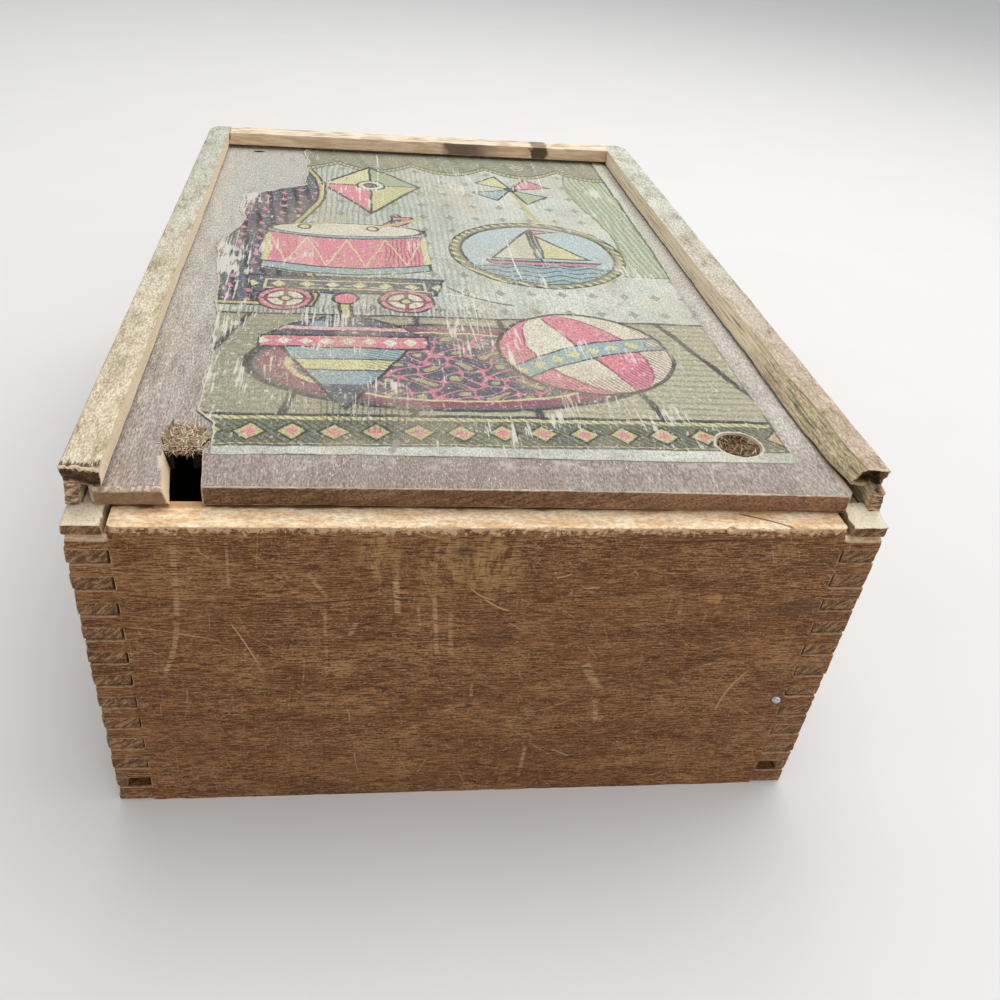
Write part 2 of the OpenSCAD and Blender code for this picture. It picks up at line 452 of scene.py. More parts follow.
def make_camera():
    pitch, yaw, roll = (math.radians(angle) for angle in (CAMERA_PITCH, CAMERA_YAW, CAMERA_ROLL))
    turn = Matrix.Rotation(yaw, 3, "Z")
    ahead = turn @ Vector((0, math.cos(pitch), -math.sin(pitch)))
    right = turn @ Vector((1, 0, 0))
    up = right.cross(ahead)
    tilted_right = math.cos(roll) * right + math.sin(roll) * up
    tilted_up = math.cos(roll) * up - math.sin(roll) * right
    data = bpy.data.cameras.new("camera")
    data.sensor_width = 36
    data.lens = CAMERA_LENS
    data.shift_x, data.shift_y = CAMERA_SHIFT
    data.clip_start = 0.01
    camera = bpy.data.objects.new("camera", data)
    bpy.context.scene.collection.objects.link(camera)
    axes = Matrix((tilted_right, tilted_up, -ahead)).transposed().to_4x4()
    camera.matrix_world = Matrix.Translation(Vector(CAMERA_PLACE) * METRE) @ axes
    bpy.context.scene.camera = camera


def make_lamp(name, place, aim, size, power, colour=(1, 1, 1)):
    data = bpy.data.lights.new(name, "AREA")
    data.shape = "RECTANGLE"
    data.size, data.size_y = size
    data.energy = power
    data.color = colour
    lamp = bpy.data.objects.new(name, data)
    lamp.location = place
    lamp.rotation_euler = (Vector(aim) - Vector(place)).to_track_quat("-Z", "Y").to_euler()
    bpy.context.scene.collection.objects.link(lamp)


def make_studio():
    """A plain pale floor under a wide soft lamp, with a weak lamp in front."""
    finish = Finish("floor")
    tone = finish.mixed(finish.grain((60, 60, 60), 3), (0.80, 0.79, 0.78), (0.84, 0.83, 0.82))
    pale = finish.surface(Base_Color=tone, Roughness=0.8)
    mesh = bpy.data.meshes.new("floor")
    reach = 3.0
    corners = [(-reach, -reach, 0), (reach, -reach, 0), (reach, reach, 0), (-reach, reach, 0)]
    mesh.from_pydata(corners, [], [(0, 1, 2, 3)])
    mesh.materials.append(pale)
    floor = bpy.data.objects.new("floor", mesh)
    bpy.context.scene.collection.objects.link(floor)
    make_lamp("sky_lamp", (0.3, 0.4, 1.25), (0, 0, 0.05), (1.5, 1.2), 13.0, (1.0, 0.985, 0.96))
    make_lamp("front_lamp", (0.5, -1.3, 0.7), (0, 0, 0.05), (1.0, 0.8), 5.0, (0.97, 0.98, 1.0))
    world = bpy.data.worlds.new("world")
    world.use_nodes = True
    world.node_tree.nodes["Background"].inputs["Color"].default_value = (0.93, 0.95, 0.97, 1)
    world.node_tree.nodes["Background"].inputs["Strength"].default_value = 0.55
    bpy.context.scene.world = world
    bpy.context.scene.view_settings.view_transform = "Standard"


def finger_recess(z, start, reach, seed):
    """How far each finger of a corner falls short of the others: one amount per finger."""
    first = BASE_FINGER + start * FINGER
    number = np.floor((z - first) / (2 * FINGER)).astype(int)
    amounts = reach * np.random.default_rng(seed).uniform(0.3, 1, 40)
    return amounts[np.clip(number, -1, 30) + 1]


def splay(z):
    """How far the sides have sprung outwards from the front corners at a height."""
    return SPLAY * smooth_step(-30, 88, z) * smooth_step(SIDE_H - 4, LEDGE - 4, z)


def back_corner(y, z):
    """How far the back corners of the rim are worn round."""
    return 3.2 * np.clip((y - HALF_D + 9) / 9, 0, 1) ** 2 * smooth_step(92, 104, z)


def shape_side(side, seed, lip_edge, lip_foot, lip_end, teeth, hollow, ledge_rise):
    """Reshapes a side board: side is -1 for the left one and 1 for the right one.

    lip_edge and lip_foot are the widths of the lip's top and underside at places along the board.
    lip_end is where the lip's top ends behind the front face, outside and inside, and where the web
    below it ends. teeth is the size of the splinters in that end, and hollow is how deep its middle is
    torn out. ledge_rise is how far the ledge below it climbs towards the web.
    """
    edge_y, edge_depth = np.array(lip_edge).T
    foot_y, foot_depth = np.array(lip_foot).T

    def reshape(places, normals):
        x, y, z = places.T
        depth = HALF_W - side * x
        inner = np.clip(depth / SIDE_T, 0, 1)
        below = np.clip((SIDE_H - z) / LIP_T, 0, 1)
        # The lip's inner edge is worn and broken to a wandering line
        width = np.interp(y, edge_y, edge_depth)
        foot = np.interp(y, foot_y, foot_depth)
        chipped = smooth_step(0.2, 1.2, foot - width)
        target = width + (foot - width) * below + 0.22 * run_of(y, 14, seed, 4)
        target += (0.1 + 0.3 * chipped) * roughness_of(places, (0.9, 16, 0.9), seed + 3, 2)
        on_lip = smooth_step(LIP_UNDER - 0.6, LIP_UNDER, z) * (depth > WEB)
        stretch = (target - WEB) / GROOVE
        under = smooth_step(LIP_UNDER + 1.4, LIP_UNDER, z) * (z > LIP_UNDER - 0.3) * (depth > WEB + 0.6)
        depth = np.where(on_lip > 0, WEB + (depth - WEB) * (1 + (stretch - 1) * on_lip), depth)
        # The upper front corner has split away raggedly, leaning back below the top
        lip_stop = lip_end[0] + (lip_end[1] - lip_end[0]) * inner + 2.2 * below**1.4
        torn = smooth_step(0.1, 0.3, below) * smooth_step(1, 0.75, below) * smooth_step(0, 0.08, inner)
        lip_stop = lip_stop + hollow * torn * smooth_step(1, 0.9, inner)
        stop = np.where(z > LIP_UNDER - 0.4, lip_stop, lip_end[2])
        near = np.clip((CORNER_BREAK + 12 - (y + HALF_D)) / 12, 0, 1) * (z > LEDGE + 0.6)
        splinters = teeth * roughness_of(places, (0.8, 40, 1.6), seed + 9, 2)
        splinters = splinters * smooth_step(1, 0.3, below * LIP_T)
        layers = 0.7 * roughness_of(places, (2.6, 40, 0.7), seed + 10, 2)
        y = y + (stop - CORNER_BREAK + splinters + layers) * near**2
        raw = smooth_step(0.8, 0.95, near) * smooth_step(0.25, 0.6, -normals[:, 1])
        # Finger ends are a little short, each by its own amount
        for end, start, least, reach in ((-1, 1, 0.05, 0.3), (1, 0, 0, 0.35)):
            part = np.clip((end * y - (HALF_D - END_T)) / END_T, 0, 1)
            short = least * (z < LEDGE - FINGER) + finger_recess(z, start, reach, seed + end)
            y = y - end * part * short * (z < LEDGE + 0.4)
        # The ledge under the broken lip has a splintered top
        on_ledge = smooth_step(LEDGE - 2.5, LEDGE, z) * (z < LEDGE + 0.3) * (y < CORNER_BREAK + 1 - HALF_D)
        z = z - 0.9 * under
        z = z + on_ledge * 0.25 * roughness_of(places, (1.6, 6, 1.6), seed + 11)
        z = z + on_ledge * ledge_rise * smooth_step(3, CORNER_BREAK, y + HALF_D)
        splintered = on_ledge * smooth_step(SIDE_T - 1.6, SIDE_T - 0.3, depth)
        depth = depth - splintered * (0.6 + 0.9 * run_of(y, 1.6, seed + 17, 3))
        depth = depth + back_corner(y, z) * (1 - inner)
        places = np.stack([side * (HALF_W - depth), y, z], axis=1)
        ragged = 0.35 + 0.35 * run_of(y, 7, seed + 13, 4)
        planed(places, (0, side * HALF_W, side), (2, SIDE_H, 1), ragged)
        bevel = (0.8 + 0.7 * run_of(z, 5, seed + 15, 3)) * (z < LEDGE)
        planed(places, (0, side * HALF_W, side), (1, 0.3 - HALF_D, -1), np.maximum(bevel, 0))
        places[:, 0] += side * splay(z) * smooth_step(-60, -140, y)
        return places, raw

    return reshape


LEFT_LIP_EDGE = ((-148, 9.6), (-110, 9.2), (-75, 9.6), (-31, 9.3), (50, 9.7), (148, 9.4))
LEFT_LIP_FOOT = ((-148, 8.7), (-75, 8.6), (-31, 8.5), (50, 9.0), (148, 8.8))
RIGHT_LIP_EDGE = (
    (-148, 6.0), (-139, 6.1), (-126, 6.9), (-118, 6.4), (-106, 7.0), (-88, 8.4),
    (-70, 7.9), (-47, 8.8), (-23, 10.2), (105, 11.0), (148, 10.6)
)
RIGHT_LIP_FOOT = ((-148, 7.4), (-136, 7.8), (-128, 9.3), (-95, 9.8), (-23, 10.4), (105, 11.0), (148, 10.6))


def corner_round(gap, radius):
    """How far a rounded corner falls behind a straight edge, at a distance in from its side."""
    inside = np.clip(radius - gap, 0, radius)
    return radius - np.sqrt(radius**2 - inside**2)


# Nicks in the front board's top edge: place, half width and size
FRONT_CHIPS = ((-14, 6, 0.7), (-30, 3, 0.6), (12, 4, 0.5), (44, 2, 0.5), (59.4, 0.8, 1.2), (71, 6, 0.4))
# Small pits in its face: place, height, radius and depth
FRONT_PITS = ((17.6, 95.8, 0.7, 0.6), (-6.5, 91.8, 2.6, 0.25), (88.4, 37, 2.3, 0.45))


def shape_front(places, normals):
    """Reshapes the front board: a chipped top edge, uneven finger ends and a split at the base."""
    x, y, z = places.T
    tab = HALF_W - SIDE_T
    y = y + corner_round(tab - abs(x), 2.2) * smooth_step(95, 96.5, z) * smooth_step(-144, -147, y)
    places = np.stack([x, y, z], axis=1)
    for end in (-1, 1):
        bevel = np.maximum(0.5 + 0.6 * run_of(z, 4, 43 + end, 3), 0)
        planed(places, (0, end * HALF_W, end), (1, -HALF_D, -1), bevel)
        reach = np.clip((end * places[:, 0] - tab) / SIDE_T, 0, 1)
        places[:, 0] += end * reach * (splay(z) - finger_recess(z, 0, 0.5, 31 + end))
    x = places[:, 0]
    chips = 0.5 + 0.4 * run_of(x, 6, 41, 4) + 0.4 * run_of(x, 1.7, 42, 3)
    for place, width, size in FRONT_CHIPS:
        chips += size * np.exp(-(((x - place) / width) ** 2))
    cut = planed(places, (2, LEDGE, 1), (1, -HALF_D, -1), np.maximum(chips, 0.12))
    raw = smooth_step(0.05, 0.3, cut)
    face = smooth_step(-HALF_D + 1.5, -HALF_D + 0.4, places[:, 1])
    for pit_x, pit_z, radius, depth in FRONT_PITS:
        away = ((places[:, 0] - pit_x) ** 2 + (places[:, 2] - pit_z) ** 2) / radius**2
        places[:, 1] += depth * np.exp(-(away**2)) * face
    # A sliver has lifted off near the base, from its sharp lower edge upwards
    along = smooth_step(0.2, 1.2, places[:, 0]) * smooth_step(10.3, 9.6, places[:, 0])
    up = smooth_step(3.6, 4.0, places[:, 2]) * smooth_step(6.4, 4.4, places[:, 2])
    places[:, 1] += 0.75 * along * up * face
    return places, np.clip(raw, 0, 1)


def shape_back(places, normals):
    """Reshapes the back board: uneven finger ends and a rubbed lip."""
    x, y, z = places.T
    for end in (-1, 1):
        reach = np.clip((end * x - (HALF_W - SIDE_T)) / SIDE_T, 0, 1)
        x = x - end * reach * (finger_recess(z, 1, 0.35, 51 + end) + back_corner(y, z))
    places = np.stack([x, y, z], axis=1)
    ragged = 0.3 + 0.4 * run_of(x, 11, 61, 4)
    planed(places, (2, SIDE_H, 1), (1, HALF_D - END_T, -1), np.maximum(ragged, 0.1))
    planed(places, (2, SIDE_H, 1), (1, HALF_D, 1), np.maximum(0.6 - ragged, 0.1))
    return places, np.zeros(len(places))


def lid_rise(x, y):
    """How far the lid has cupped up from flat: most in the middle of its front edge."""
    middle = (LID_LOW[0] + LID_HIGH[0]) / 2
    across = (x - middle) / ((LID_HIGH[0] - LID_LOW[0]) / 2)
    front = smooth_step(70, LID_LOW[1], y)
    return front * (0.62 * (1 - across**2) - 0.16)


# Old nail pits in the lid, each a little longer than wide, and its crack
LID_PITS = ((-77.1, 134.4, 2.6, 1.0), (43.4, 125.1, 2.0, 0.9))
LID_CRACK = ((64.5, 145.7), (61.2, 86.0))
# Where the left wall of the slot reaches the lid's front edge
SLOT_LEFT = -77.5


def lid_front_at(x):
    """Where the lid's skewed front edge lies."""
    part = (x - LID_LOW[0]) / (LID_HIGH[0] - LID_LOW[0])
    return -HALF_D + LID_SETBACK + (LID_LOW[1] + HALF_D - LID_SETBACK) * part


def shape_lid(places, normals):
    """Reshapes the lid: cupped, with a chipped front edge, rubbed sides, two nail pits and a crack."""
    x, y, z = places.T
    # The slot's left wall leans where the wood broke away, and the tongue beside it stands a little proud
    wall = SLOT_LEFT - (y - LID_LOW[1]) * 0.16
    broken = smooth_step(-2.5, 0, x - wall) * (x < wall + 0.6) * smooth_step(-121, -124, y)
    x = x + 1.3 * broken * (LID_HIGH[2] - z) / (LID_HIGH[2] - LID_LOW[2])
    y = y - 0.9 * smooth_step(-118, -138, y) * (x < SLOT_LEFT + 2)
    front = smooth_step(8, 0, y - lid_front_at(x))
    y = y + front * (corner_round(x - LID_LOW[0], 2.6) + corner_round(LID_HIGH[0] - x, 2.2))
    raw = np.zeros(len(places))
    upper = z > LID_HIGH[2] - 1
    for pit_x, pit_y, long, wide in LID_PITS:
        away = ((x - pit_x) / long) ** 2 + ((y - pit_y) / wide) ** 2
        dent = np.exp(-(away**2)) * upper
        z = z - 1.5 * dent
        raw = np.maximum(raw, dent)
    (crack_x, crack_y), (stop_x, stop_y) = LID_CRACK
    part = (y - stop_y) / (crack_y - stop_y)
    aside = x - stop_x - part * (crack_x - stop_x)
    z = z - 0.6 * np.exp(-((aside / 0.45) ** 2)) * smooth_step(0, 0.2, part) * upper
    places = np.stack([x, y, z], axis=1)
    front = y - lid_front_at(x)
    chips = 0.42 + 0.35 * run_of(x, 4, 71, 4) + 0.25 * run_of(x, 24, 72, 2)
    shifted = places.copy()
    shifted[:, 1] = front
    cut = planed(shifted, (2, LID_HIGH[2], 1), (1, 0, -1), np.maximum(chips, 0.1))
    raw = np.maximum(raw, smooth_step(0.03, 0.2, cut))
    planed(shifted, (2, LID_LOW[2], -1), (1, 0, -1), 0.5 + 0.3 * run_of(x, 7, 74, 3))
    places[:, 1] += shifted[:, 1] - front
    places[:, 2] = shifted[:, 2]
    planed(places, (2, LID_LOW[2], -1), (0, LID_LOW[0], -1), 1.9 * smooth_step(-120, -140, y))
    rub = 0.4 + 0.8 * smooth_step(40, -60, y) + 0.5 * run_of(y, 18, 73, 4)
    for edge, out, share in ((LID_HIGH[0], 1, 1), (LID_LOW[0], -1, 0.5)):
        cut = planed(places, (2, LID_HIGH[2], 1), (0, edge, out), np.maximum(rub * share, 0.05))
        raw = np.maximum(raw, smooth_step(0.03, 0.2, cut))
    places[:, 2] += lid_rise(places[:, 0], places[:, 1])
    return places, raw


def shape_bottom(places, normals):
    """Reshapes the bottom board, which sags a little."""
    x, y, z = places.T
    sag = -0.5 * (1 - (x / HALF_W) ** 2) * (1 - (y / HALF_D) ** 2)
    return np.stack([x, y, z + sag], axis=1), np.zeros(len(places))


def mound(x, y, peg, height, seed):
    """The height of a torn peg's lumpy end over the lid's top."""
    away = np.hypot(x - peg[0], y - peg[1]) / PEG_R
    spots = np.stack([x, y, np.full_like(x, 3.5)], axis=1)
    return height * (1 - 0.5 * away**2) + 0.55 * roughness_of(spots, (1.7, 2.6, 1.7), seed, 3)


def shape_stub(peg, height, undercut, seed):
    """Reshapes a broken peg: its end is torn into lumps, and its front is torn out underneath."""

    def reshape(places, normals):
        x, y, z = places.T
        part = smooth_step(LID_LOW[2] + 1.5, LID_HIGH[2] - 2, z)
        top = LID_HIGH[2] + mound(x, y, peg, height, seed)
        lifted = np.minimum(z, LID_HIGH[2] - 1) + (top - LID_HIGH[2] + 1) * part
        crumbs = 0.3 * roughness_of(places, (1.1, 1.1, 1.4), seed + 4, 2) * part
        front = smooth_step(peg[1] + 2, peg[1] - PEG_R, y)
        front = front * smooth_step(LID_HIGH[2] - 0.8, LID_HIGH[2] - 2.2, z)
        return np.stack([x + crumbs, y - crumbs + undercut * front, lifted], axis=1), part

    return reshape


def fibres(roots, tips, lift, widths, seed):
    """Thin torn fibres in one mesh: each runs from its root to its tip, bows upwards and tapers away."""
    rings, sides = 5, 4
    part = np.linspace(0, 1, rings)[None, :, None]
    middles = (roots + tips) / 2 + np.stack([0 * lift, 0 * lift, lift], axis=1)
    near, bent, far = roots[:, None], middles[:, None], tips[:, None]
    lines = (1 - part) ** 2 * near + 2 * part * (1 - part) * bent + part**2 * far
    ahead = np.gradient(lines, axis=1)
    ahead /= np.linalg.norm(ahead, axis=2, keepdims=True)
    aside = np.cross(ahead, (0.31, 0.17, 0.93))
    aside /= np.linalg.norm(aside, axis=2, keepdims=True)
    above = np.cross(ahead, aside)
    angle = np.arange(sides) * 2 * math.pi / sides
    radius = widths[:, None, None, None] * (1 - 0.85 * part[..., None] ** 1.5)
    round_it = np.cos(angle)[:, None] * aside[:, :, None] + 0.6 * np.sin(angle)[:, None] * above[:, :, None]
    corners = lines[:, :, None] + radius * round_it
    faces = []
    for strand in range(len(roots)):
        first = strand * rings * sides
        faces.append(tuple(first + k for k in reversed(range(sides))))
        faces.append(tuple(first + (rings - 1) * sides + k for k in range(sides)))
        for ring in range(rings - 1):
            low = first + ring * sides
            for k in range(sides):
                other = (k + 1) % sides
                faces.append((low + k, low + other, low + sides + other, low + sides + k))
    mesh = bpy.data.meshes.new("fibres")
    mesh.from_pydata((corners.reshape(-1, 3) * METRE).tolist(), [], faces)
    tones = np.random.default_rng(seed).uniform(0, 1, len(roots))
    write_values(mesh, "tone", np.repeat(tones, rings * sides))
    mesh.shade_smooth()
    return mesh


def peg_fibres(peg, count, height, reach, seed):
    """The fibres that stand out of a torn peg, most of them along the lid's grain."""
    random = np.random.default_rng(seed)
    turn = random.uniform(0, 2 * math.pi, count)
    out = PEG_R * 1.02 * np.sqrt(random.uniform(0, 1, count))
    x, y = peg[0] + out * np.cos(turn), peg[1] + out * np.sin(turn)
    z = LID_HIGH[2] + mound(x, y, peg, height, seed) - 0.3
    heading = random.normal(0, 0.9, count) + math.pi * (random.uniform(0, 1, count) < 0.5)
    steep = random.uniform(-0.2, 0.5, count)
    length = reach * random.uniform(0.35, 1, count)
    roots = np.stack([x, y, z], axis=1)
    level = np.cos(steep)
    ways = np.stack([np.sin(heading) * level, np.cos(heading) * level, np.sin(steep)], axis=1)
    tips = roots + ways * length[:, None]
    over = np.hypot(tips[:, 0] - peg[0], tips[:, 1] - peg[1]) - PEG_R - 0.5
    tips[:, 2] = np.maximum(tips[:, 2], LID_HIGH[2] + 0.2 * (over > 0))
    return roots, tips, random.uniform(0.1, 0.6, count), random.uniform(0.1, 0.26, count)


# The long splinters of the torn left peg: root, tip and thickness
LONG_SPLINTERS = (
    ((-79.6, -115.5, 105.6), (-79.7, -110.8, 106.2), 0.6),
    ((-73.9, -116.0, 105.7), (-73.8, -111.8, 106.5), 0.5),
    ((-76.4, -116.5, 105.9), (-77.2, -112.9, 106.6), 0.3)
)
# How far back the fringe over the slot is rooted, and how far it reaches to each side
FRINGE_ROOTS = (-124.4, -122.6)
FRINGE_REACH = 5.2


def slot_fibres(count, seed):
    """The fringe that hangs from the torn left peg over the slot, and the peg's long splinters."""
    random = np.random.default_rng(seed)
    x = random.uniform(LEFT_PEG[0] - FRINGE_REACH, LEFT_PEG[0] + FRINGE_REACH, count)
    y = random.uniform(*FRINGE_ROOTS, count)
    z = random.uniform(LID_HIGH[2] - 1.4, LID_HIGH[2] + 0.5, count)
    roots = np.stack([x, y, z], axis=1)
    aside = random.normal(0, 0.8, count)
    ahead = -random.uniform(0.1, 1.0, count)
    up = random.uniform(-1.3, 0.6, count)
    tips = roots + np.stack([aside, ahead, up], axis=1)
    long_roots, long_tips, long_widths = (np.array(column) for column in zip(*LONG_SPLINTERS))
    roots = np.concatenate([roots, long_roots])
    tips = np.concatenate([tips, long_tips])
    widths = np.concatenate([random.uniform(0.1, 0.26, count), long_widths])
    lift = np.concatenate([random.uniform(0.1, 0.5, count), np.full(len(LONG_SPLINTERS), 0.1)])
    return roots, tips, lift, widths


def lathed_brad():
    """The brad, turned round its slanting axis: a domed, worn head on a pointed shank."""
    shank, length, head = 0.7, 17.0, 0.6
    profile = (
        (-0.16, 0.0), (-0.15, 0.5), (-0.08, 0.95), (0.04, 1.28), (0.2, BRAD_R), (0.42, 1.42), (head, 1.2),
        (head + 0.1, shank), (length - 2.4, shank), (length - 0.1, 0.12), (length, 0.0)
    )
    work = bmesh.new()
    corners = [work.verts.new((radius, 0, along)) for along, radius in profile]
    chain = corners + [work.edges.new(pair) for pair in zip(corners, corners[1:])]
    bmesh.ops.spin(
        work, geom=chain, axis=(0, 0, 1), cent=(0, 0, 0), angle=2 * math.pi, steps=28, use_merge=True
    )
    bmesh.ops.remove_doubles(work, verts=work.verts, dist=1e-4)
    bmesh.ops.recalc_face_normals(work, faces=work.faces)
    for corner in work.verts:
        if corner.co.z < head:
            corner.co.z += 0.05 * math.sin(corner.co.x * 3.1 + 1) * math.cos(corner.co.y * 2.7)
    head_x = BRAD_LOW[0] + BRAD_R * math.cos(BRAD_SLANT)
    head_y = BRAD_LOW[1] + BRAD_R * math.sin(BRAD_SLANT)
    head_z = (BRAD_LOW[2] + BRAD_HIGH[2]) / 2
    turn = Matrix.Rotation(-BRAD_SLANT, 4, "Z") @ Matrix.Rotation(math.radians(-90), 4, "X")
    place = Matrix.Scale(METRE, 4) @ Matrix.Translation((head_x, head_y, head_z)) @ turn
    bmesh.ops.transform(work, matrix=place, verts=work.verts)
    mesh = bpy.data.meshes.new("brad")
    work.to_mesh(mesh)
    work.free()
    mesh.shade_smooth()
    return mesh


# The paper's outline from its back left corner round by the front. The last value is how ragged the tear is
PAPER_OUTLINE = (
    (-56, 142, 1), (-53.6, 86, 1), (-66, 79, 1), (-78.7, 71, 1), (-76.2, 35, 1), (-82.5, 14, 0.9),
    (-79, -22, 0.8), (-75.3, -54, 0.8), (-74.5, -87, 0.8), (-74, -106, 0.9), (-69, -112, 0.9),
    (-68.6, -126, 0.5), (-20, -126.4, 0.25), (31, -127.5, 0.3), (82.4, -127.2, 0.2),
    (81.9, -13.5, 0.15), (87.4, 128.6, 0.3), (87.6, 142, 0.2)
)
# Holes in the paper: the right peg's and a torn patch over an old nail
PAPER_HOLES = ((RIGHT_PEG[0], RIGHT_PEG[1], 6.2), (43.4, 125.1, 2.6))
PAPER_T = 0.2
# Its creases: start, end and how far the middle strays
PAPER_CREASES = (
    ((-22.5, 141), (-23.6, 80), 0.8), ((26.8, 40), (26.7, -14), -1.2),
    ((52, 141), (50.5, 90), 0.6), ((-50, -20), (8, -27), 1.4)
)


def paper_line(step, seed):
    """Spots round the paper's torn outline, the ragged ones first worn away, and how ragged each is."""
    corners = np.array(PAPER_OUTLINE)
    following = np.roll(corners, -1, axis=0)
    rows = []
    for start, end in zip(corners, following):
        count = max(int(np.hypot(*(end - start)[:2]) / step), 1)
        part = np.arange(count)[:, None] / count
        rows.append(start + (end - start) * part)
    line = np.concatenate(rows)
    ahead = np.roll(line, -3, axis=0)[:, :2] - np.roll(line, 3, axis=0)[:, :2]
    inward = np.stack([-ahead[:, 1], ahead[:, 0]], axis=1) / np.hypot(*ahead.T)[:, None]
    spots = np.stack([line[:, 0], line[:, 1], np.zeros(len(line))], axis=1)
    jag = 1.5 * roughness_of(spots, (11, 11, 1), seed, 2)
    jag += 0.7 * roughness_of(spots, (2, 2, 1), seed + 5, 2)
    line[:, :2] += inward * (line[:, 2] * jag)[:, None]
    return line, inward


def paper_ring(centre_x, centre_y, radius, seed):
    """Spots round a torn hole."""
    turn = np.arange(0, 2 * math.pi, 0.7 / radius)
    spots = np.stack([np.cos(turn) * 3, np.sin(turn) * 3, np.zeros(len(turn))], axis=1)
    reach = radius + 0.35 * roughness_of(spots, (1.2, 1.2, 1), seed, 2)
    return np.stack([centre_x + reach * np.cos(turn), centre_y + reach * np.sin(turn)], axis=1)


def inside_line(spots, line):
    """Whether each spot lies inside a closed line."""
    crossed = np.zeros(len(spots), bool)
    for (x1, y1), (x2, y2) in zip(line, np.roll(line, -1, axis=0)):
        if y1 != y2:
            spans = (y1 > spots[:, 1]) != (y2 > spots[:, 1])
            crossed ^= spans & (spots[:, 0] < x1 + (x2 - x1) * (spots[:, 1] - y1) / (y2 - y1))
    return crossed


def nearest(spots, line):
    """How far each spot is from the closest spot of a line."""
    return np.sqrt(((spots[:, None] - line[None]) ** 2).sum(axis=2)).min(axis=1)


def paper_sheet():
    """The torn paper: a thin sheet that lies on the cupped lid, its torn edges lifting in places."""
    rim, inward = paper_line(0.8, 301)
    outline = rim[:, :2]
    rings = [paper_ring(x, y, radius, 311 + k) for k, (x, y, radius) in enumerate(PAPER_HOLES)]
    loops = [outline] + rings
    edge = np.concatenate(loops)
    ragged = np.concatenate([rim[:, 2]] + [np.full(len(ring), 0.9) for ring in rings])
    within = [outline + 0.9 * inward]
    for (x, y, radius), ring in zip(PAPER_HOLES, rings):
        centre = np.array((x, y))
        within.append(centre + (ring - centre) * (1 + 0.9 / radius))
    grid = np.stack(np.meshgrid(np.arange(-82, 88, 3.3), np.arange(-126, 142, 3.7)), axis=-1).reshape(-1, 2)
    grid += np.random.default_rng(7).uniform(-0.8, 0.8, grid.shape)
    loose = np.concatenate(within + [grid])
    keep = inside_line(loose, outline)
    for x, y, radius in PAPER_HOLES:
        keep &= np.hypot(loose[:, 0] - x, loose[:, 1] - y) > radius + 0.5
    loose = loose[keep]
    loose = loose[nearest(loose, edge) > 0.55]
    spots = np.concatenate([edge, loose])
    borders = []
    first = 0
    for loop in loops:
        borders += [(first + k, first + (k + 1) % len(loop)) for k in range(len(loop))]
        first += len(loop)
    found, _, faces, *_ = delaunay_2d_cdt([Vector(spot) for spot in spots], borders, [], 1, 1e-6)
    flat = np.array([tuple(spot) for spot in found])
    faces = np.array([tuple(face) for face in faces if len(face) == 3])
    centres = flat[faces].mean(axis=1)
    kept = inside_line(centres, outline)
    for ring in rings:
        kept &= ~inside_line(centres, ring)
    away = nearest(flat, edge)
    torn = ragged[np.argmin(((flat[:, None] - edge[None]) ** 2).sum(axis=2), axis=1)]
    level = np.stack([flat[:, 0], flat[:, 1], np.zeros(len(flat))], axis=1)
    patches = smooth_step(0.05, 0.6, roughness_of(level, (9, 9, 1), 321, 2))
    lift = (0.05 + 0.5 * patches * torn) * np.exp(-away / 1.6)
    lift += 0.04 * roughness_of(level, (5, 5, 1), 331, 2)
    height = LID_HIGH[2] + lid_rise(flat[:, 0], flat[:, 1]) + PAPER_T + lift
    mesh = bpy.data.meshes.new("paper")
    places = np.stack([flat[:, 0], flat[:, 1], height], axis=1) * METRE
    mesh.from_pydata(places.tolist(), [], faces[kept].tolist())
    write_values(mesh, "rim", np.exp(-away / 0.5) * torn)
    work = bmesh.new()
    work.from_mesh(mesh)
    loose_corners = [corner for corner in work.verts if not corner.link_faces]
    bmesh.ops.delete(work, geom=loose_corners, context="VERTS")
    for face in work.faces:
        if face.normal.z < 0:
            face.normal_flip()
    work.to_mesh(mesh)
    work.free()
    thick = {"thickness": (PAPER_T + 0.12) * METRE, "offset": -1, "use_even_offset": False}
    sheet = evaluated(mesh, ("SOLIDIFY", thick))
    sheet.shade_smooth()
    return evaluated(sheet, ("WEIGHTED_NORMAL", {"keep_sharp": True, "weight": 60}))


def paint(*levels):
    """A colour from its display levels of 0 to 255."""
    parts = [level / 255 for level in levels]
    return tuple(part / 12.92 if part < 0.04 else ((part + 0.055) / 1.055) ** 2.4 for part in parts)


def darker(tone, share):
    return tuple(channel * share for channel in tone)


def wood(name, along, tones, seed, spread=0.13):
    """Old wood with its grain along X (0) or Y (1). tones run from its dark to its pale fibres."""
    finish = Finish(name)

    def cell(length, width):
        return tuple(length if axis == along else width for axis in range(3))

    shift = (seed * 7.3, seed * 3.1, seed * 5.7)
    rings = finish.grain(cell(80, 5.5), 3, 0.6, shift=shift)
    streaks = finish.grain(cell(16, 1.2), 2, 0.3, shift=shift)
    fibres = finish.grain(cell(3.6, 0.36), 3, 0.2, rough=0.7, shift=shift)
    blotches = finish.grain(cell(30, 15), 3, shift=shift)
    tone = rings * 0.12 + streaks * 0.15 + fibres * 0.53 + blotches * 0.2
    start = 0.5 - spread
    stops = [(start + 2 * spread * k / (len(tones) - 1), shade) for k, shade in enumerate(tones)]
    colour = finish.ramp(tone, *stops)
    height = fibres * 0.55 + streaks * 0.3 + rings * 0.2
    return finish, colour, height, fibres


